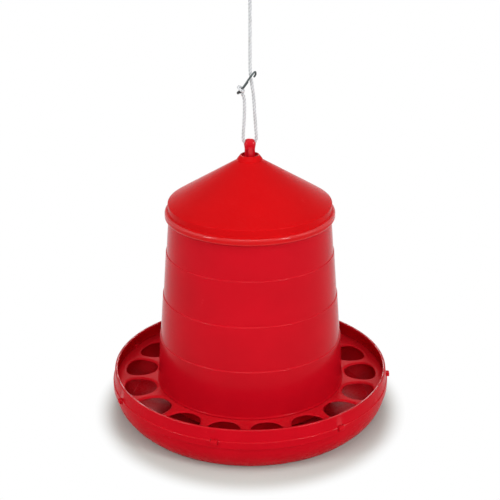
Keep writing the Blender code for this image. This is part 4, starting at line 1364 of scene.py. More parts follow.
@dataclass
class HangingCord:
    """The cord: through the rod's eye, both falls to the adjuster, one on up to the loop overhead.

    Places are in millimetres with heights from the rod's top.
    """

    route: tuple[Place, ...] = (
        (-10.4, 0.0, 61.6), (-8.0, 0.0, 57.0), (-6.9, 0.0, 50.5), (-6.8, 0.0, 39.0), (-7.4, -0.4, 21.0),
        (-8.3, -1.0, 9.0), (-8.6, -1.2, 0.8), (-7.95, -1.1, -2.5), (-6.08, -0.85, -5.3),
        (-3.29, -0.46, -7.15), (0.0, 0.0, -7.8), (3.29, 0.46, -7.15), (6.08, 0.85, -5.3), (7.95, 1.1, -2.5),
        (8.6, 1.2, 0.8), (8.2, 1.0, 9.0), (7.0, 0.4, 26.0), (5.8, 0.0, 45.0), (4.5, 0.0, 61.0),
        (2.6, 0.0, 74.0), (1.0, 0.0, 85.0), (0.6, 0.0, 97.0), (0.6, 0.0, 129.0), (0.6, 0.0, 169.0),
        (0.6, 0.0, 199.0),
    )
    length: float = 287.4
    points: int = 280
    lay: RopeLay = RopeLay()
    knot_centre: Place = (-11.2, -3.9, 67.4)
    knot_leg: Place = (-4.0, 0.7, -4.6)
    knot_radius: float = 4.2
    knot_points: int = 72
    knot_lay: RopeLay = RopeLay(radius=2.0, lay_length=8.8)
    loop_radius: float = 8.0
    loop_points: int = 120
    loop_sink: float = 1.0  # of the neck into the loop
    neck: float = 13.0
    neck_radius: float = 4.6
    neck_points: int = 30
    neck_lay: float = 30.0
    neck_core: tuple[float, float] = (0.02, 0.98)  # shares of the neck that its core runs between
    whipping_lay: RopeLay = RopeLay(radius=1.0, lay_length=3.2, sides=8)
    whipping_turns: int = 6
    whipping_points: int = 26  # in one turn
    whipping_depth: float = 1.1  # from the neck's surface to the cord under it
    whipping_inset: float = 1.2  # from both ends of the neck
    gap: float = 0.3  # from the cord's end to the neck, and from the loop to its hook

    def above_rod(self, place: Sequence[float]) -> Vector:
        """A place with its height from the pan's foot."""
        return Vector(place) + Vector((0.0, 0.0, high_of("hanger_rod").z))

    def loop_centre(self) -> Vector:
        """Middle of the overhead loop."""
        rise = self.gap + self.neck + self.loop_radius - self.loop_sink
        return self.above_rod(self.route[-1]) + Vector((0.0, 0.0, rise))

    def build(self, material: Material) -> tuple[Object, list[Vector]]:
        """The main run of cord.

        Args:
            material: its finish.

        Returns:
            The cord and its centreline.
        """
        line = through([self.above_rod(p) for p in self.route], self.points)
        cord = self.lay.rope("cord", line, material)
        show(cord, Body.PAN, "hanging_cord")
        return cord, line

    def build_knot(self, material: Material) -> Object:
        """The turn of cord tied round the adjuster's front leg.

        Args:
            material: its finish.

        Returns:
            The turn.
        """
        axis = Vector(self.knot_leg).normalized()
        centre = self.above_rod(self.knot_centre)
        side = axis.orthogonal().normalized()
        other = axis.cross(side)
        ring = [centre + self.knot_radius * (math.cos(a) * side + math.sin(a) * other)
                for a in around(self.knot_points, 0.0)]
        knot = self.knot_lay.rope("cord_knot_turn", ring, material, closed=True)
        show(knot, Body.PAN, "cord_knot")
        return knot

    def build_loop(self, material: Material) -> Object:
        """The overhead loop with its whipped neck.

        Args:
            material: its finish.

        Returns:
            The loop.
        """
        centre = self.loop_centre()
        ring = [centre + self.loop_radius * Vector((0.0, math.sin(a), -math.cos(a)))
                for a in around(self.loop_points, 0.0)]
        loop = self.lay.rope("cord_loop", ring, material, closed=True)
        foot = centre.z - self.loop_radius + self.loop_sink - self.neck
        core = [Vector((centre.x, centre.y, foot + self.neck * share))
                for share in np.linspace(*self.neck_core, self.neck_points)]
        core_lay = RopeLay(radius=self.neck_radius - self.whipping_depth, lay_length=self.neck_lay)
        inner = core_lay.rope("neck", core, material)
        bpy.ops.object.select_all(action="DESELECT")
        for part in (loop, inner, self.whipping(centre, foot, material)):
            part.select_set(True)
        bpy.context.view_layer.objects.active = loop
        bpy.ops.object.join()  # keeps the strands' attributes
        loop.select_set(False)
        show(loop, Body.PAN, "cord_top_loop")
        return loop

    def whipping(self, centre: Vector, foot: float, material: Material) -> Object:
        """The thin cord wound round the neck.

        Args:
            centre: the loop's middle.
            foot: height of the neck's foot.
            material: its finish.

        Returns:
            The winding.
        """
        last = self.whipping_turns * self.whipping_points
        coil = []
        for i in range(last + 1):
            turn = 2.0 * math.pi * i / self.whipping_points
            rise = self.whipping_inset + (self.neck - 2.0 * self.whipping_inset) * i / last
            place = Vector((*polar(self.neck_radius - self.whipping_lay.radius, turn), foot + rise))
            coil.append(place + Vector((centre.x, centre.y, 0.0)))
        return self.whipping_lay.rope("whipping", coil, material)


@dataclass
class CordAdjuster:
    """One bent wire that grips the cord at its upper eye and holds the knotted fall in its lower one."""

    wire_radius: float = 1.25
    route: tuple[Place, ...] = (
        (5.2, 5.0, 80.5), (7.6, 4.7, 84.2), (7.0, 2.4, 88.4), (3.6, -2.8, 86.2), (-0.4, -4.6, 81.4),
        (-4.2, -4.7, 75.8), (-8.2, -4.3, 70.0), (-12.2, -3.6, 65.4), (-15.3, -1.0, 62.2), (-15.0, 2.6, 59.8),
        (-12.0, 4.7, 61.6), (-8.4, 4.9, 66.2), (-5.0, 4.9, 70.8), (-2.0, 5.0, 75.0),
    )
    points: int = 110
    sides: int = 20

    def build(self, rod_top: float, material: Material) -> Object:
        """The bent wire.

        Args:
            rod_top: the height from which its route is measured.
            material: its finish.

        Returns:
            The wire.
        """
        line = through([Vector(p) + Vector((0.0, 0.0, rod_top)) for p in self.route], self.points)
        adjuster = wire("adjuster_wire", line, self.wire_radius, self.sides, material)
        show(adjuster, Body.PAN, "cord_adjuster")
        return adjuster


@dataclass
class CeilingHook:
    """Screw hook overhead, the cord's loop hung in it."""

    wire_radius: float = 2.2
    radius: float = 9.0
    arc_start: float = -200.0  # degrees
    arc_end: float = 60.0
    arc_points: int = 60
    arc_step: int = 4  # the wire's route takes every fourth of them
    crank: tuple[float, float] = (0.6, 4.0)
    shank: float = 20.45
    shank_places: tuple[float, ...] = (0.0, 3 / 11, 7 / 11)  # shares of the shank's way up
    points: int = 170
    sides: int = 24
    thread_length: float = 12.0
    thread_pitch: float = 1.7
    thread_end: float = 0.6  # plain wire above the thread
    ridge: float = 0.34
    ridge_sink: float = 0.12  # into the wire at the thread's foot
    tip_sink: float = 0.35

    def build(self, cord: HangingCord, material: Material) -> Object:
        """The hook with its threaded shank.

        Args:
            cord: the cord that hangs in it.
            material: its finish.

        Returns:
            The hook.
        """
        rise = cord.loop_radius - cord.lay.radius - cord.gap - self.wire_radius + self.radius
        centre = cord.loop_centre() + Vector((0.0, 0.0, rise))
        bend = arc(centre, self.radius, self.arc_start, self.arc_end, self.arc_points)
        across, neck = self.crank
        low = centre + Vector((across, 0.0, self.radius + neck))
        top = centre + Vector((0.0, 0.0, self.radius + self.shank))
        straight = [low.lerp(top, share) for share in self.shank_places]
        route = [*bend[::self.arc_step], *straight, top]
        body = wire("shank", through(route, self.points), self.wire_radius, self.sides, material)
        foot = top.z - self.thread_length - self.thread_end
        start = line_mesh("thread", [(centre.x, centre.y, foot), (centre.x, centre.y, top.z)])
        values = {
            "Foot Radius": (self.wire_radius - self.ridge_sink) * MM,
            "Tip Radius": (self.wire_radius - self.tip_sink) * MM,
            "Height": self.thread_length * MM, "Pitch": self.thread_pitch * MM, "Ridge": self.ridge * MM,
            "Finish": material,
        }
        thread = closed_up(shaped("thread", start, thread_tree(), values))
        hook = joined("screw_hook", [body, thread])
        show(hook, Body.PAN, "ceiling_hook")
        return hook


# -------- moulded pieces


def bridge(bm: BMesh, rings: Sequence[Sequence[BMVert]]) -> None:
    """Joins rings of equal counts by faces, each to the next.

    Args:
        bm: what they are in.
        rings: the vertices of each, in order.
    """
    for here, after in zip(rings, rings[1:]):
        for i in range(len(here)):
            j = (i + 1) % len(here)
            bm.faces.new((here[i], here[j], after[j], after[i]))


def loft(name: str, rings: Sequence[Sequence[Vector]], material: Material) -> Object:
    """A closed solid through rings of equal counts.

    Args:
        name: the solid's name.
        rings: the points of each, in order.
        material: its finish.

    Returns:
        The solid.
    """
    bm = bmesh.new()
    loops = [[bm.verts.new(p) for p in ring] for ring in rings]
    bridge(bm, loops)
    bm.faces.new(loops[0][::-1])
    bm.faces.new(loops[-1])
    return from_bmesh(name, bm, material)


@dataclass
class SnapLugs:
    """The ring's rounded lugs, standing out through the pan's windows."""

    count: int = 7
    first: float = math.radians(-1.0)
    width: float = 9.0
    height: float = 5.5
    standout: float = 3.6
    root: float = 3.0
    play: float = 0.6
    centre: float = 45.75
    rounding: float = 1.2

    def build(self, pan_radius: float, ring_edge: float, material: Material) -> Object:
        """All lugs as one shell each, in one object.

        Args:
            pan_radius: the pan's outer radius.
            ring_edge: the radius of the ring's edge, in which they are rooted.
            material: the ring's finish.

        Returns:
            The lugs.
        """
        reach = pan_radius + self.standout - ring_edge + self.root
        centre = (pan_radius + self.standout - reach / 2.0, 0.0, self.centre)
        lug = block("lug", (reach, self.width, self.height), centre, material, self.rounding)
        return repeated("lugs", lug, self.count, self.first)


@dataclass
class FeedPan:
    """Bowed pan with its band, rolled rim, centre cone, rod boss and the windows for the snap lugs."""

    radius: float = high_of("feed_pan").x
    height: float = high_of("feed_pan").z
    wall: float = 2.8
    floor: float = 3.0
    band_standout: float = 2.4
    band_slope: float = 1.4
    band_height: float = 11.0
    band_below_rim: float = 17.0
    bow: float = 19.0
    bow_power: float = 2.2
    bow_points: int = 16
    collar_inset: float = 1.1
    collar_rise: float = 0.6
    rim_lean: float = 3.1
    rim_width: float = 3.7
    rim_depth: float = 4.0
    rim_slope: float = 3.0
    foot_width: float = 17.6
    foot_height: float = 2.0
    foot_draft: float = 0.6
    cone_foot: float = 75.0
    cone_fillet: float = 12.0
    boss_radius: float = 12.95
    rod_bore: float = 7.45
    boss_bottom: float = 24.0
    boss_top: float = 42.0
    boss_sleeve: float = 7.0
    ledge_top: float = 41.5
    turns: int = 208
    window_cut: float = 4.0  # walls that a window's cutter is thick
    polish_start: float = 46.0  # height from which its edges are rubbed

    def band_top(self) -> float:
        """Top of the band round the wall."""
        return self.height - self.band_below_rim

    def bowl(self, radius: float, foot: float) -> list[Corner]:
        """One side of the bowed wall.

        Args:
            radius: its radius at the band.
            foot: height of its foot.

        Returns:
            Its points, from the foot to the band.
        """
        top = self.band_top() - self.band_height
        rises = [i / self.bow_points for i in range(self.bow_points + 1)]
        return [(radius - self.bow * (1.0 - rise) ** self.bow_power, foot + (top - foot) * rise)
                for rise in rises]

    def outline(self) -> list[Corner]:
        """The pan's section.

        Returns:
            Its corners, from the foot up the outside and down the inside to the boss.
        """
        bowl_radius = self.radius - self.band_standout
        band_top, band_foot = self.band_top(), self.band_top() - self.band_height
        outer = self.bowl(bowl_radius, 0.0)
        inner = self.bowl(bowl_radius - self.wall, self.foot_height + self.floor)
        foot_inner = outer[0][0] - self.foot_width
        wall_inner = self.radius - self.wall
        rim = self.radius - self.rim_lean
        floor_top = self.foot_height + self.floor
        return [
            (foot_inner, 0.0, 1.0),
            (*outer[0], 0.8),
            *outer[1:-1],
            (*outer[-1], 0.6),
            (self.radius, band_foot + self.band_slope, 0.9),
            (self.radius, band_top, 0.6),
            (self.radius - self.collar_inset, band_top + self.collar_rise, 0.4),
            (rim, self.height, 1.6),
            (rim - self.rim_width, self.height, 1.6),
            (rim - self.rim_width, self.height - self.rim_depth, 0.8),
            (rim - self.wall, self.height - self.rim_depth - self.rim_slope, 0.8),
            (wall_inner, band_top, 2.0),
            (wall_inner, self.ledge_top, 0.4),
            (bowl_radius - self.wall, self.ledge_top, 0.5),
            *reversed(inner[1:]),
            (*inner[0], 2.0),
            (self.cone_foot, floor_top, self.cone_fillet),
            (self.boss_radius, self.boss_top - self.floor, 2.0),
            (self.boss_radius, self.boss_top, 0.8),
            (self.rod_bore, self.boss_top, 0.5),
            (self.rod_bore, self.boss_bottom, 0.4),
            (self.boss_radius, self.boss_bottom, 0.5),
            (self.boss_radius, self.boss_bottom + self.boss_sleeve, 1.0),
            (self.cone_foot - self.floor, self.foot_height, self.cone_fillet),
            (foot_inner - self.foot_draft, self.foot_height, 0.8),
        ]

    def build(self, lugs: SnapLugs, material: Material) -> None:
        """The pan with its windows cut.

        Args:
            lugs: the lugs that stand in the windows.
            material: its finish.
        """
        pan = turned("pan_bowl", self.outline(), self.turns, material)
        window = (self.window_cut * self.wall, lugs.width + 2.0 * lugs.play, lugs.height + 2.0 * lugs.play)
        cut = reshaped("feed_pan_shell", pan, windows_tree(), {
            "Count": lugs.count, "First Angle": lugs.first,
            "Window Size": tuple(s * MM for s in window),
            "Window Place": (self.radius * MM, 0.0, lugs.centre * MM),
        })
        show(cut, Body.PAN, "feed_pan")


@dataclass
class WasteRing:
    """The slotted ring that rests in the pan: plate with rounded ribs, collar and edge."""

    sink: float = 19.8  # of its top under the pan's rim
    plate: float = 2.4
    bore: float = 121.2
    edge: float = 189.6
    collar_wall: float = 2.2
    collar_depth: float = 8.0
    openings: int = 17
    opening_inner: float = 134.5
    opening_outer: float = 178.0
    rib_width: float = 11.0
    rounded_rim: float = 4.4
    corner_power: float = 2.4
    flare: float = 0.10
    first_rib: float = math.radians(-92.5)
    points_round: int = 48
    round_steps: int = 6
    opening_round: float = 2.0  # of an opening's upper edge
    opening_break: float = 0.15  # of its lower edge
    edge_roll: float = 0.6  # of the plate's and the collar's upper edges
    edge_break: float = 0.3  # of the plate's lower edge
    collar_break: float = 0.4  # of the collar's lower edges
    roll_flat: float = 1.2  # from the bore to the points that hold the collar's top flat
    roll_drop: float = 1.4  # from that top to the points that hold its wall upright

    @property
    def top(self) -> float:
        """Height of the plate's upper side."""
        return high_of("feed_pan").z - self.sink

    def section(self) -> list[Place]:
        """The line from the plate's underside round an opening's edge to its top.

        Returns:
            Its places: the two shares that the plate's tree takes, and the height in metres.
        """
        low, high = (self.top - self.plate) * MM, self.top * MM
        rise = self.opening_round * MM
        line = [(0.0, flat_share, low) for flat_share in (1.0, 0.5, 0.05)]
        line.append((0.0, 0.0, low + self.opening_break * MM))
        for i in range(self.round_steps + 1):
            a = math.pi / 2.0 * i / self.round_steps
            line.append((1.0 - math.cos(a), 0.0, high - rise * (1.0 - math.sin(a))))
        line += [(1.0, 0.35, high), (1.0, 1.0, high)]
        return line

    def build(self, lugs: SnapLugs, pan_radius: float, material: Material) -> None:
        """The ring and its lugs.

        Args:
            lugs: the ring's lugs.
            pan_radius: the pan's outer radius.
            material: the finish of both.
        """
        lengths = {
            "Inner Edge": self.bore + self.collar_wall, "Outer Edge": self.edge - self.edge_roll,
            "Opening Inner": self.opening_inner, "Opening Outer": self.opening_outer,
            "Rib Width": self.rib_width, "Rounded Rim": self.rounded_rim,
        }
        values = {name: length * MM for name, length in lengths.items()} | {
            "Openings": self.openings, "First Rib": self.first_rib, "Corner Power": self.corner_power,
            "Flare": self.flare, "Points Round": self.points_round, "Finish": material,
        }
        section = bpy.data.meshes.new("section")
        places = self.section()
        section.from_pydata(places, [(i, i + 1) for i in range(len(places) - 1)], [])
        plate = shaped("ring_plate", section, slotted_tree(), values)
        self.add_edges(plate)
        ring = joined("slotted_ring", [closed_up(plate), lugs.build(pan_radius, self.edge, material)])
        show(ring, Body.PAN, "anti_waste_ring")

    def add_edges(self, plate: Object) -> None:
        """Closes the plate's open edges: the rolled outer edge, and the collar round the bore.

        Args:
            plate: the plate.
        """
        bm = bmesh.new()
        bm.from_mesh(plate.data)
        bmesh.ops.scale(bm, vec=(1.0 / MM,) * 3, verts=bm.verts[:])
        bmesh.ops.remove_doubles(bm, verts=bm.verts[:], dist=WELD / MM)
        rim = {v for e in bm.edges if e.is_boundary for v in e.verts}
        top, low = self.top, self.top - self.plate
        bore, edge = self.bore, self.edge

        def loop(outer: bool, upper: bool) -> list[BMVert]:
            """One of the four open loops, in order round the axis."""
            found = [v for v in rim if (v.co.xy.length > (bore + edge) / 2.0) == outer
                     and (v.co.z > (top + low) / 2.0) == upper]
            return sorted(found, key=lambda v: math.atan2(v.co.y, v.co.x))

        rolled = [(self.edge_roll * (1.0 - math.sin(a)), self.edge_roll * (1.0 - math.cos(a)))
                  for a in map(math.radians, range(0, 91, ROLL_STEP))]
        outer_line = [(edge - inwards, top - down) for inwards, down in rolled[1:]]
        outer_line += [(edge, low + self.edge_break), (edge - self.edge_break, low)]
        foot = top - self.collar_depth
        wall, chamfer = self.collar_wall, self.collar_break
        inner_line = [(bore + self.roll_flat, top)]
        inner_line += [(bore + outwards, top - down) for outwards, down in rolled]
        inner_line += [(bore, top - self.roll_drop), (bore, foot + chamfer), (bore + chamfer, foot),
                       (bore + wall - chamfer, foot), (bore + wall, foot + chamfer)]
        for outer, line in ((True, outer_line), (False, inner_line)):
            rings = [loop(outer, True)]
            for radius, height in line:
                rings.append([bm.verts.new((*(v.co.xy.normalized() * radius), height)) for v in rings[0]])
            rings.append(loop(outer, False))
            bridge(bm, rings)
        bmesh.ops.scale(bm, vec=(MM,) * 3, verts=bm.verts[:])
        bm.to_mesh(plate.data)
        bm.free()


@dataclass(frozen=True)
class BridgeArms:
    """The bridge's arms, on which the hopper rests and which its pockets take."""

    count: int = 3
    first: float = math.radians(90.0)
    width: float = 9.0
    bottom: float = 62.0
    height: float = 10.0


@dataclass
class FeedHopper:
    """Tapered hopper: spigot, foot bead, stepped bands, rim and the pockets for the bridge."""

    foot: float = low_of("feed_hopper").z
    top: float = high_of("feed_hopper").z
    radius: float = high_of("feed_hopper").x
    seat: float = 44.5
    wall: float = 2.2
    spigot_inset: float = 9.8
    bead_height: float = 3.0
    bead_upright: float = 1.2
    bead_standout: float = 0.9
    shoulder_start: float = 4.0
    shoulder_height: float = 13.5
    first_line: float = 67.1
    line_pitch: float = 61.85
    line_step: float = 1.05
    step_height: float = 0.8
    low_taper: float = 0.0595
    taper: float = 0.0765
    lid_seat: float = 14.0
    rim: float = 2.4
    arms: BridgeArms = BridgeArms()
    pocket_depth: float = 8.0
    pocket_wall: float = 2.4
    pocket_edge: float = 0.5
    play_beside: float = 0.6  # between a pocket and its arm
    play_above: float = 0.3
    turns: int = 192

    def bands(self) -> list[tuple[float, float]]:
        """The outer wall above the foot bead, with a step at each line.

        Returns:
            Its corners as (radius, height).
        """
        lines = [self.seat + self.first_line]
        while lines[-1] + self.line_pitch < self.top - self.lid_seat - self.line_step:
            lines.append(lines[-1] + self.line_pitch)
        outline = [(self.radius - self.bead_standout, self.seat + self.bead_height)]
        taper = self.low_taper
        for line in [*lines, self.top - self.lid_seat]:
            radius, height = outline[-1]
            radius -= (line - height) * taper
            outline += [(radius, line), (radius - self.line_step, line + self.step_height)]
            taper = self.taper
        radius, height = outline[-1]
        outline.append((radius - (self.top - height) * taper, self.top))
        return outline

    def radius_at(self, height: float) -> float:
        """Outer radius at a height above the foot bead."""
        bands = self.bands()
        return float(np.interp(height, [h for _, h in bands], [r for r, _ in bands]))

    def outline(self) -> list[Corner]:
        """The hopper's section.

        Returns:
            Its corners, from the spigot's foot up the outside and down the inside.
        """
        bands = self.bands()
        spigot = self.radius - self.spigot_inset
        lines = [height for _, height in bands[1:-1:2]]
        steps = [(r, z, 0.45) for r, z in bands[1:-1]]
        shoulder = self.seat + self.shoulder_height
        return [
            (spigot - self.wall, self.foot, 0.8),
            (spigot, self.foot, 0.8),
            (spigot, self.seat, 0.6),
            (self.radius, self.seat, 0.4),
            (self.radius, self.seat + self.bead_upright, 0.9),
            (*bands[0], 0.8),
            *steps,
            (bands[-1][0], self.top, 0.9),
            (bands[-1][0] - self.rim, self.top, 0.9),
            (self.radius_at(lines[-2]) - self.wall, lines[-2], 3.0),
            (self.radius_at(lines[0]) - self.wall, lines[0], 3.0),
            (self.radius_at(shoulder) - self.wall, shoulder, 3.0),
            (spigot - self.wall, self.seat + self.shoulder_start, 2.0),
        ]

    def pocket(self, material: Material) -> Object:
        """One pocket: a roof and two cheeks round an arm of the bridge.

        Args:
            material: the hopper's finish.

        Returns:
            The pocket, on the X axis.
        """
        arms, wall, edge = self.arms, self.pocket_wall, self.pocket_edge
        roof = arms.bottom + arms.height + self.play_above
        back = self.radius_at(roof) - self.wall
        width = arms.width + 2.0 * (self.play_beside + wall)
        height = arms.height + self.play_above + wall
        depth = self.pocket_depth + self.wall / 2.0
        x = back - self.pocket_depth + depth / 2.0
        parts = [block("roof", (depth, width, wall), (x, 0.0, roof + wall / 2.0), material, edge)]
        for side in (-1.0, 1.0):
            centre = (x, side * (width - wall) / 2.0, arms.bottom + height / 2.0)
            parts.append(block("cheek", (depth, wall, height), centre, material, edge))
        return joined("pocket", parts)

    def build(self, material: Material) -> None:
        """The hopper with its pockets.

        Args:
            material: its finish.
        """
        shell = turned("hopper_wall", self.outline(), self.turns, material)
        pockets = repeated("pockets", self.pocket(material), self.arms.count, self.arms.first)
        show(joined("hopper_shell", [shell, pockets]), Body.HOPPER, "feed_hopper")


@dataclass
class HopperBridge:
    """Hub on the rod with three arms that carry the hopper."""

    foot: float = low_of("hopper_bridge").z
    top: float = high_of("hopper_bridge").z
    bore: float = FeedPan.rod_bore
    hub_radius: float = 14.0
    hub_turns: int = 96
    arms: BridgeArms = BridgeArms()
    reach: float = high_of("hopper_bridge").y
    root: float = 3.0  # of an arm in the hub
    web: float = 2.2
    web_inset: float = 0.4  # of its length and height, inside the flanges'
    flange: float = 2.4
    toe: float = 3.0
    edge: float = 0.6

    def arm(self, material: Material) -> Object:
        """One arm, an I-section with a toe.

        Args:
            material: the bridge's finish.

        Returns:
            The arm, on the X axis.
        """
        width, height, bottom = self.arms.width, self.arms.height, self.arms.bottom
        start = self.hub_radius - self.root
        length = self.reach - start
        x = start + length / 2.0
        middle = bottom + height / 2.0
        web = (length - self.web_inset, self.web, height - self.web_inset)
        flange = (length, width, self.flange)
        return joined("arm", [
            block("web", web, (x, 0.0, middle), material, self.edge / 2.0),
            *(block("flange", flange, (x, 0.0, z), material, self.edge)
              for z in (bottom + self.flange / 2.0, bottom + height - self.flange / 2.0)),
            block("toe", (self.toe, width, height), (self.reach - self.toe / 2.0, 0.0, middle),
                  material, self.edge),
        ])

    def build(self, material: Material) -> None:
        """The hub and its arms.

        Args:
            material: their finish.
        """
        hub = turned("hub", [
            (self.bore, self.foot, 0.6), (self.hub_radius, self.foot, 1.0),
            (self.hub_radius, self.top, 1.0), (self.bore, self.top, 0.6)], self.hub_turns, material)
        arms = repeated("arms", self.arm(material), self.arms.count, self.arms.first)
        show(joined("bridge", [hub, arms]), Body.HOPPER, "hopper_bridge")


@dataclass
class HopperLid:
    """Conical lid: collar round the rod, cone, rounded shoulder, skirt and rolled bead."""

    hopper_top: float = high_of("feed_hopper").z
    bead_radius: float = high_of("hopper_lid").x
    top: float = high_of("hopper_lid").z
    foot: float = low_of("hopper_lid").z
    wall: float = 1.7
    fit: float = 1.4
    opening: float = 11.4
    collar_wall: float = 1.1
    collar_spread: float = 4.4
    collar_height: float = 7.5
    collar_foot: float = 1.6
    slope: float = 0.619
    shoulder_inset: float = 5.4
    skirt_depth: float = 2.9
    bead_standout: float = 4.3
    bead_half: float = 4.4
    bead_roll: float = 3.6
    bead_fillet: float = 2.7
    bead_lip: float = 3.4
    bead_crown: float = 0.8  # of its half height, from its middle up to its widest place
    bead_blend: float = 0.6  # over its top and under it, where the skirt's two sides start
    bead_fade: float = 1.0  # over its top, where the rubbed edges end
    turns: int = 192

    def cone_top(self) -> float:
        """Height of the cone's outer surface at the collar's foot."""
        return self.top - self.collar_height

    def cone_height(self, radius: float) -> float:
        """Height of the cone's outer surface over a radius."""
        collar = self.opening + self.collar_wall + self.collar_spread
        return self.cone_top() + self.slope * (collar - radius)

    def bead_top(self) -> float:
        """Height where the bead runs out into the skirt."""
        return self.foot + 2.0 * self.bead_half + self.bead_fade

    def outline(self) -> list[Corner]:
        """The lid's section.

        Returns:
            Its corners, from the collar down the outside and up the inside.
        """
        slant = self.wall * math.hypot(1.0, self.slope)
        skirt = self.bead_radius - self.bead_standout
        shoulder = skirt - self.shoulder_inset
        skirt_top = self.hopper_top - self.skirt_depth
        bead = self.foot + self.bead_half
        collar_top = self.opening + self.collar_wall
        collar_foot = collar_top + self.collar_spread
        rim_clear = skirt - self.wall - self.fit / 2.0
        return [
            (self.opening, self.top, 0.5),
            (collar_top, self.top, 0.5),
            (collar_foot, self.cone_top() + self.collar_foot, 0.5),
            (collar_foot, self.cone_top(), 0.6),
            (shoulder, self.cone_height(shoulder), 1.6),
            (skirt, skirt_top + self.shoulder_inset / 2.0, 2.2),
            (skirt, bead + self.bead_half + self.bead_blend, 0.8),
            (self.bead_radius, bead + self.bead_crown * self.bead_half, self.bead_roll),
            (self.bead_radius, self.foot, self.bead_fillet),
            (self.bead_radius - self.bead_lip, self.foot, 0.6),
            (self.bead_radius - self.bead_lip, bead, 0.8),
            (skirt - self.wall, bead + self.bead_half - self.bead_blend, 0.8),
            (skirt - self.wall, skirt_top - self.wall, 0.8),
            (rim_clear, self.cone_height(rim_clear) - slant, 0.3),
            (collar_foot, self.cone_top() - slant, 0.8),
            (self.opening, self.cone_top() - self.wall / 2.0, 0.5),
        ]

    def build(self, material: Material) -> None:
        """The lid."""
        show(turned("lid_shell", self.outline(), self.turns, material), Body.LID, "hopper_lid")


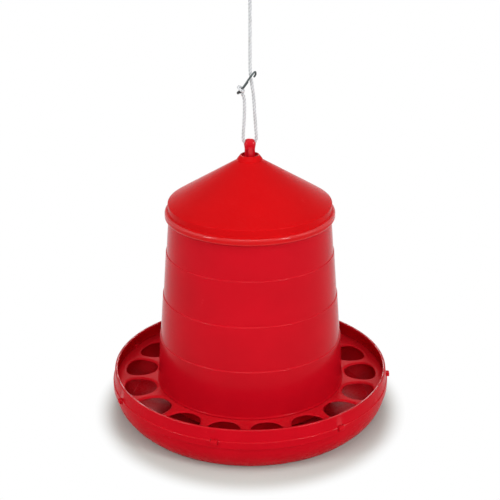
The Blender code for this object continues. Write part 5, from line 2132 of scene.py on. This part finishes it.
@dataclass
class HangerRod:
    """Cross-ribbed rod with its foot flange, round pin stretch and the eyed head."""

    foot: float = low_of("hanger_rod").z
    top: float = high_of("hanger_rod").z
    width: float = 13.7
    rib: float = 5.4
    twist: float = math.radians(8.0)
    shrink: float = 0.2
    flange_radius: float = 20.0
    flange: float = 4.0
    pin_zone_top: float = 82.0
    pin_height: float = 57.6
    pin_holes: int = 3
    pin_pitch: float = 7.5
    pin_radius: float = 2.0
    head_height: float = 14.5
    head_width: float = 15.0
    head_depth: float = 12.6
    roundness: float = 0.62
    head_points: int = 48  # in a ring
    head_shape: tuple[tuple[float, float], ...] = (
        (0.86, 0.0), (0.89, 0.05), (0.92, 0.12), (0.95, 0.22), (0.98, 0.32), (1.01, 0.42), (1.035, 0.52),
        (1.03, 0.59), (1.00, 0.66), (0.95, 0.73), (0.86, 0.80), (0.75, 0.87), (0.63, 0.93), (0.51, 0.975),
        (0.40, 1.0))
    eye_gap: float = 0.5
    eye_points: int = 160
    rib_edge: float = 0.8
    rib_root: float = 0.9
    rib_sink: float = 2.0  # into the round stretch
    rib_rings: int = 12
    rib_start: float = 10.0  # over the round stretch, where the ribs' even rings start
    rib_end: float = 0.7  # of the head's height under its top, where they end
    bore: float = 1.0  # of the round stretch, filled by its core
    core: float = 1.6
    core_inset: float = 0.02
    pin_play: float = 0.3
    hole_points: int = 5
    turns: int = 96
    sides: int = 24
    soft_edge: float = 0.35
    soft_segments: int = 2

    def cross(self, height: float) -> list[Vector]:
        """The cross-shaped section, its edges rounded.

        Args:
            height: where it lies.

        Returns:
            Its points in order.
        """
        w, r = (self.width - self.shrink) / 2.0, self.rib / 2.0
        rib = [(w, -r, self.rib_edge), (w, r, self.rib_edge), (r, r, self.rib_root)]
        corners = []
        for _ in range(4):
            corners += rib
            rib = [(-y, x, fillet) for x, y, fillet in rib]
        spin = Matrix.Rotation(self.twist, 3, "Z")
        return [spin @ Vector((x, y, height)) for x, y in filleted(corners)]

    def head_ring(self, scale: float, rise: float) -> list[Vector]:
        """One ring of the head, a rounded block in plan.

        Args:
            scale: its size as a share of the head's.
            rise: its place as a share of the head's height.

        Returns:
            Its points in order.
        """
        spin = Matrix.Rotation(self.twist, 3, "Z")
        ring = []
        for t in around(self.head_points, math.pi / self.head_points):
            u, v = (math.copysign(abs(way) ** self.roundness, way) * size / 2.0
                    for way, size in ((math.cos(t), self.head_width), (math.sin(t), self.head_depth)))
            height = self.top - self.head_height * (1.0 - rise)
            ring.append(spin @ Vector((u * scale, v * scale, height)))
        return ring

    def stalk(self, material: Material) -> Object:
        """The foot flange and the round stretch that takes the pin.

        Args:
            material: the rod's finish.

        Returns:
            Both as one solid.
        """
        radius, flange_top, top = self.width / 2.0, self.foot + self.flange, self.pin_zone_top
        spindle = turned("spindle", [
            (self.bore, self.foot, 0.2), (self.flange_radius, self.foot, 0.8),
            (self.flange_radius, flange_top, 0.8), (radius, flange_top, 1.0),
            (radius, top, 0.8), (self.bore, top, 0.2),
        ], self.turns, material)
        core = loft("core", [[Vector((*polar(self.core, a), z)) for a in around(self.sides, 0.0)]
                             for z in (self.foot + self.core_inset, top - self.core_inset)], material)
        return combine(spindle, core, Meeting.ADD)

    def build(self, cord: HangingCord, material: Material) -> None:
        """The rod with its pin holes and the cord's eye.

        Args:
            cord: the cord that goes through the eye.
            material: the rod's finish.
        """
        rod = self.stalk(material)
        neck = self.top - self.head_height * self.rib_end
        heights = [self.pin_zone_top - self.rib_sink,
                   *np.linspace(self.pin_zone_top + self.rib_start, neck, self.rib_rings)]
        rod = combine(rod, loft("ribs", [self.cross(float(z)) for z in heights], material), Meeting.ADD)
        head = loft("head", [self.head_ring(*shape) for shape in self.head_shape], material)
        rod = combine(rod, head, Meeting.ADD)
        line = through([cord.above_rod(p) for p in cord.route], self.eye_points)
        turn = [p for p in line if p.z < self.top + self.head_height]
        cutter = wire("eye", turn, cord.lay.radius + self.eye_gap, self.sides, material)
        rod = combine(rod, cutter, Meeting.CUT)
        for k in range(self.pin_holes):
            height = self.pin_height + k * self.pin_pitch
            across = np.linspace(-self.width, self.width, self.hole_points)
            points = [Vector((x, 0.0, height)) for x in across]
            hole = wire("hole", points, self.pin_radius + self.pin_play, self.sides, material)
            rod = combine(rod, hole, Meeting.CUT)
        bevel = rod.modifiers.new("edges", "BEVEL")
        bevel.width = self.soft_edge * MM
        bevel.segments = self.soft_segments
        bevel.limit_method = "ANGLE"
        bevel.angle_limit = SHARP_ANGLE
        show(closed_up(applied(rod, bevel)), Body.PAN, "hanger_rod")


@dataclass
class LevelPin:
    """Bent steel pin through the rod, under the bridge's hub."""

    height: float = HangerRod.pin_height
    radius: float = HangerRod.pin_radius
    tail: float = 13.0
    reach: float = 26.0
    bend: float = 5.0
    drop: float = 9.0
    points: int = 12  # of its straight stretch, and of its bend
    drop_points: int = 5
    sides: int = 24

    def build(self, material: Material) -> None:
        """The bent pin.

        Args:
            material: its finish.
        """
        straight = [Vector((x, 0.0, self.height)) for x in np.linspace(-self.tail, self.reach, self.points)]
        centre = Vector((self.reach, 0.0, self.height - self.bend))
        corner = arc(centre, self.bend, 90.0, 0.0, self.points)[1:]
        drops = np.linspace(0.0, self.drop, self.drop_points)[1:]
        down = [corner[-1] - Vector((0.0, 0.0, z)) for z in drops]
        pin = wire("steel_pin", straight + corner + down, self.radius, self.sides, material)
        show(pin, Body.PIN, "level_pin")


# -------- whole feeder


def main() -> None:
    """Builds the studio and the feeder piece by piece."""
    logging.basicConfig(level=logging.INFO, format="%(name)s: %(message)s")
    Studio().build()
    LOG.info("studio is set")

    cord_finish = CordFinish("white cord").build()
    cord = HangingCord()
    run, line = cord.build(cord_finish)
    knot = cord.build_knot(cord_finish)
    loop = cord.build_loop(cord_finish)
    zinc = MetalFinish("zinc wire", tarnish=0.8).build()
    adjuster = CordAdjuster().build(high_of("hanger_rod").z, zinc)
    hook = CeilingHook().build(cord, MetalFinish("hook steel", colour=(0.55, 0.56, 0.57)).build())

    pan, lugs, lid = FeedPan(), SnapLugs(), HopperLid()
    pan_red = PlasticFinish(
        "red pan plastic", dust=(0.32, 0.16, 0.11), dusting=0.10, specular=0.02, roughness=0.22,
        edge_polish=0.8, edge_start=0.513, polished=(pan.polish_start * MM, 1.0))
    pan.build(lugs, pan_red.build())
    ring_red = PlasticFinish(
        "red ring plastic", dusting=0.05, specular=0.012, roughness=0.32, edge_polish=0.06)
    WasteRing().build(lugs, pan.radius, ring_red.build())
    FeedHopper().build(PlasticFinish("red hopper plastic", edge_polish=0.6).build())
    HopperBridge().build(PlasticFinish("red bridge plastic", roughness=0.36).build())
    # The lid's lighter, warmer red is painted warm light from above, a lit copy of the same red plastic.
    lid_red_painted_top_light = PlasticFinish(
        "red lid plastic", colour=(0.615, 0.0042, 0.0062), deep=(0.540, 0.0035, 0.0052), roughness=0.20,
        specular=0.02, edge_polish=0.65, edge_start=0.501, edge_full=0.512,
        polished=(0.0, lid.bead_top() * MM))
    lid.build(lid_red_painted_top_light.build())
    HangerRod().build(cord, PlasticFinish("red rod plastic", roughness=0.34).build())
    LevelPin().build(MetalFinish("pin steel", colour=(0.6, 0.6, 0.6), tarnish=0.3).build())


if __name__ == "__main__":
    main()
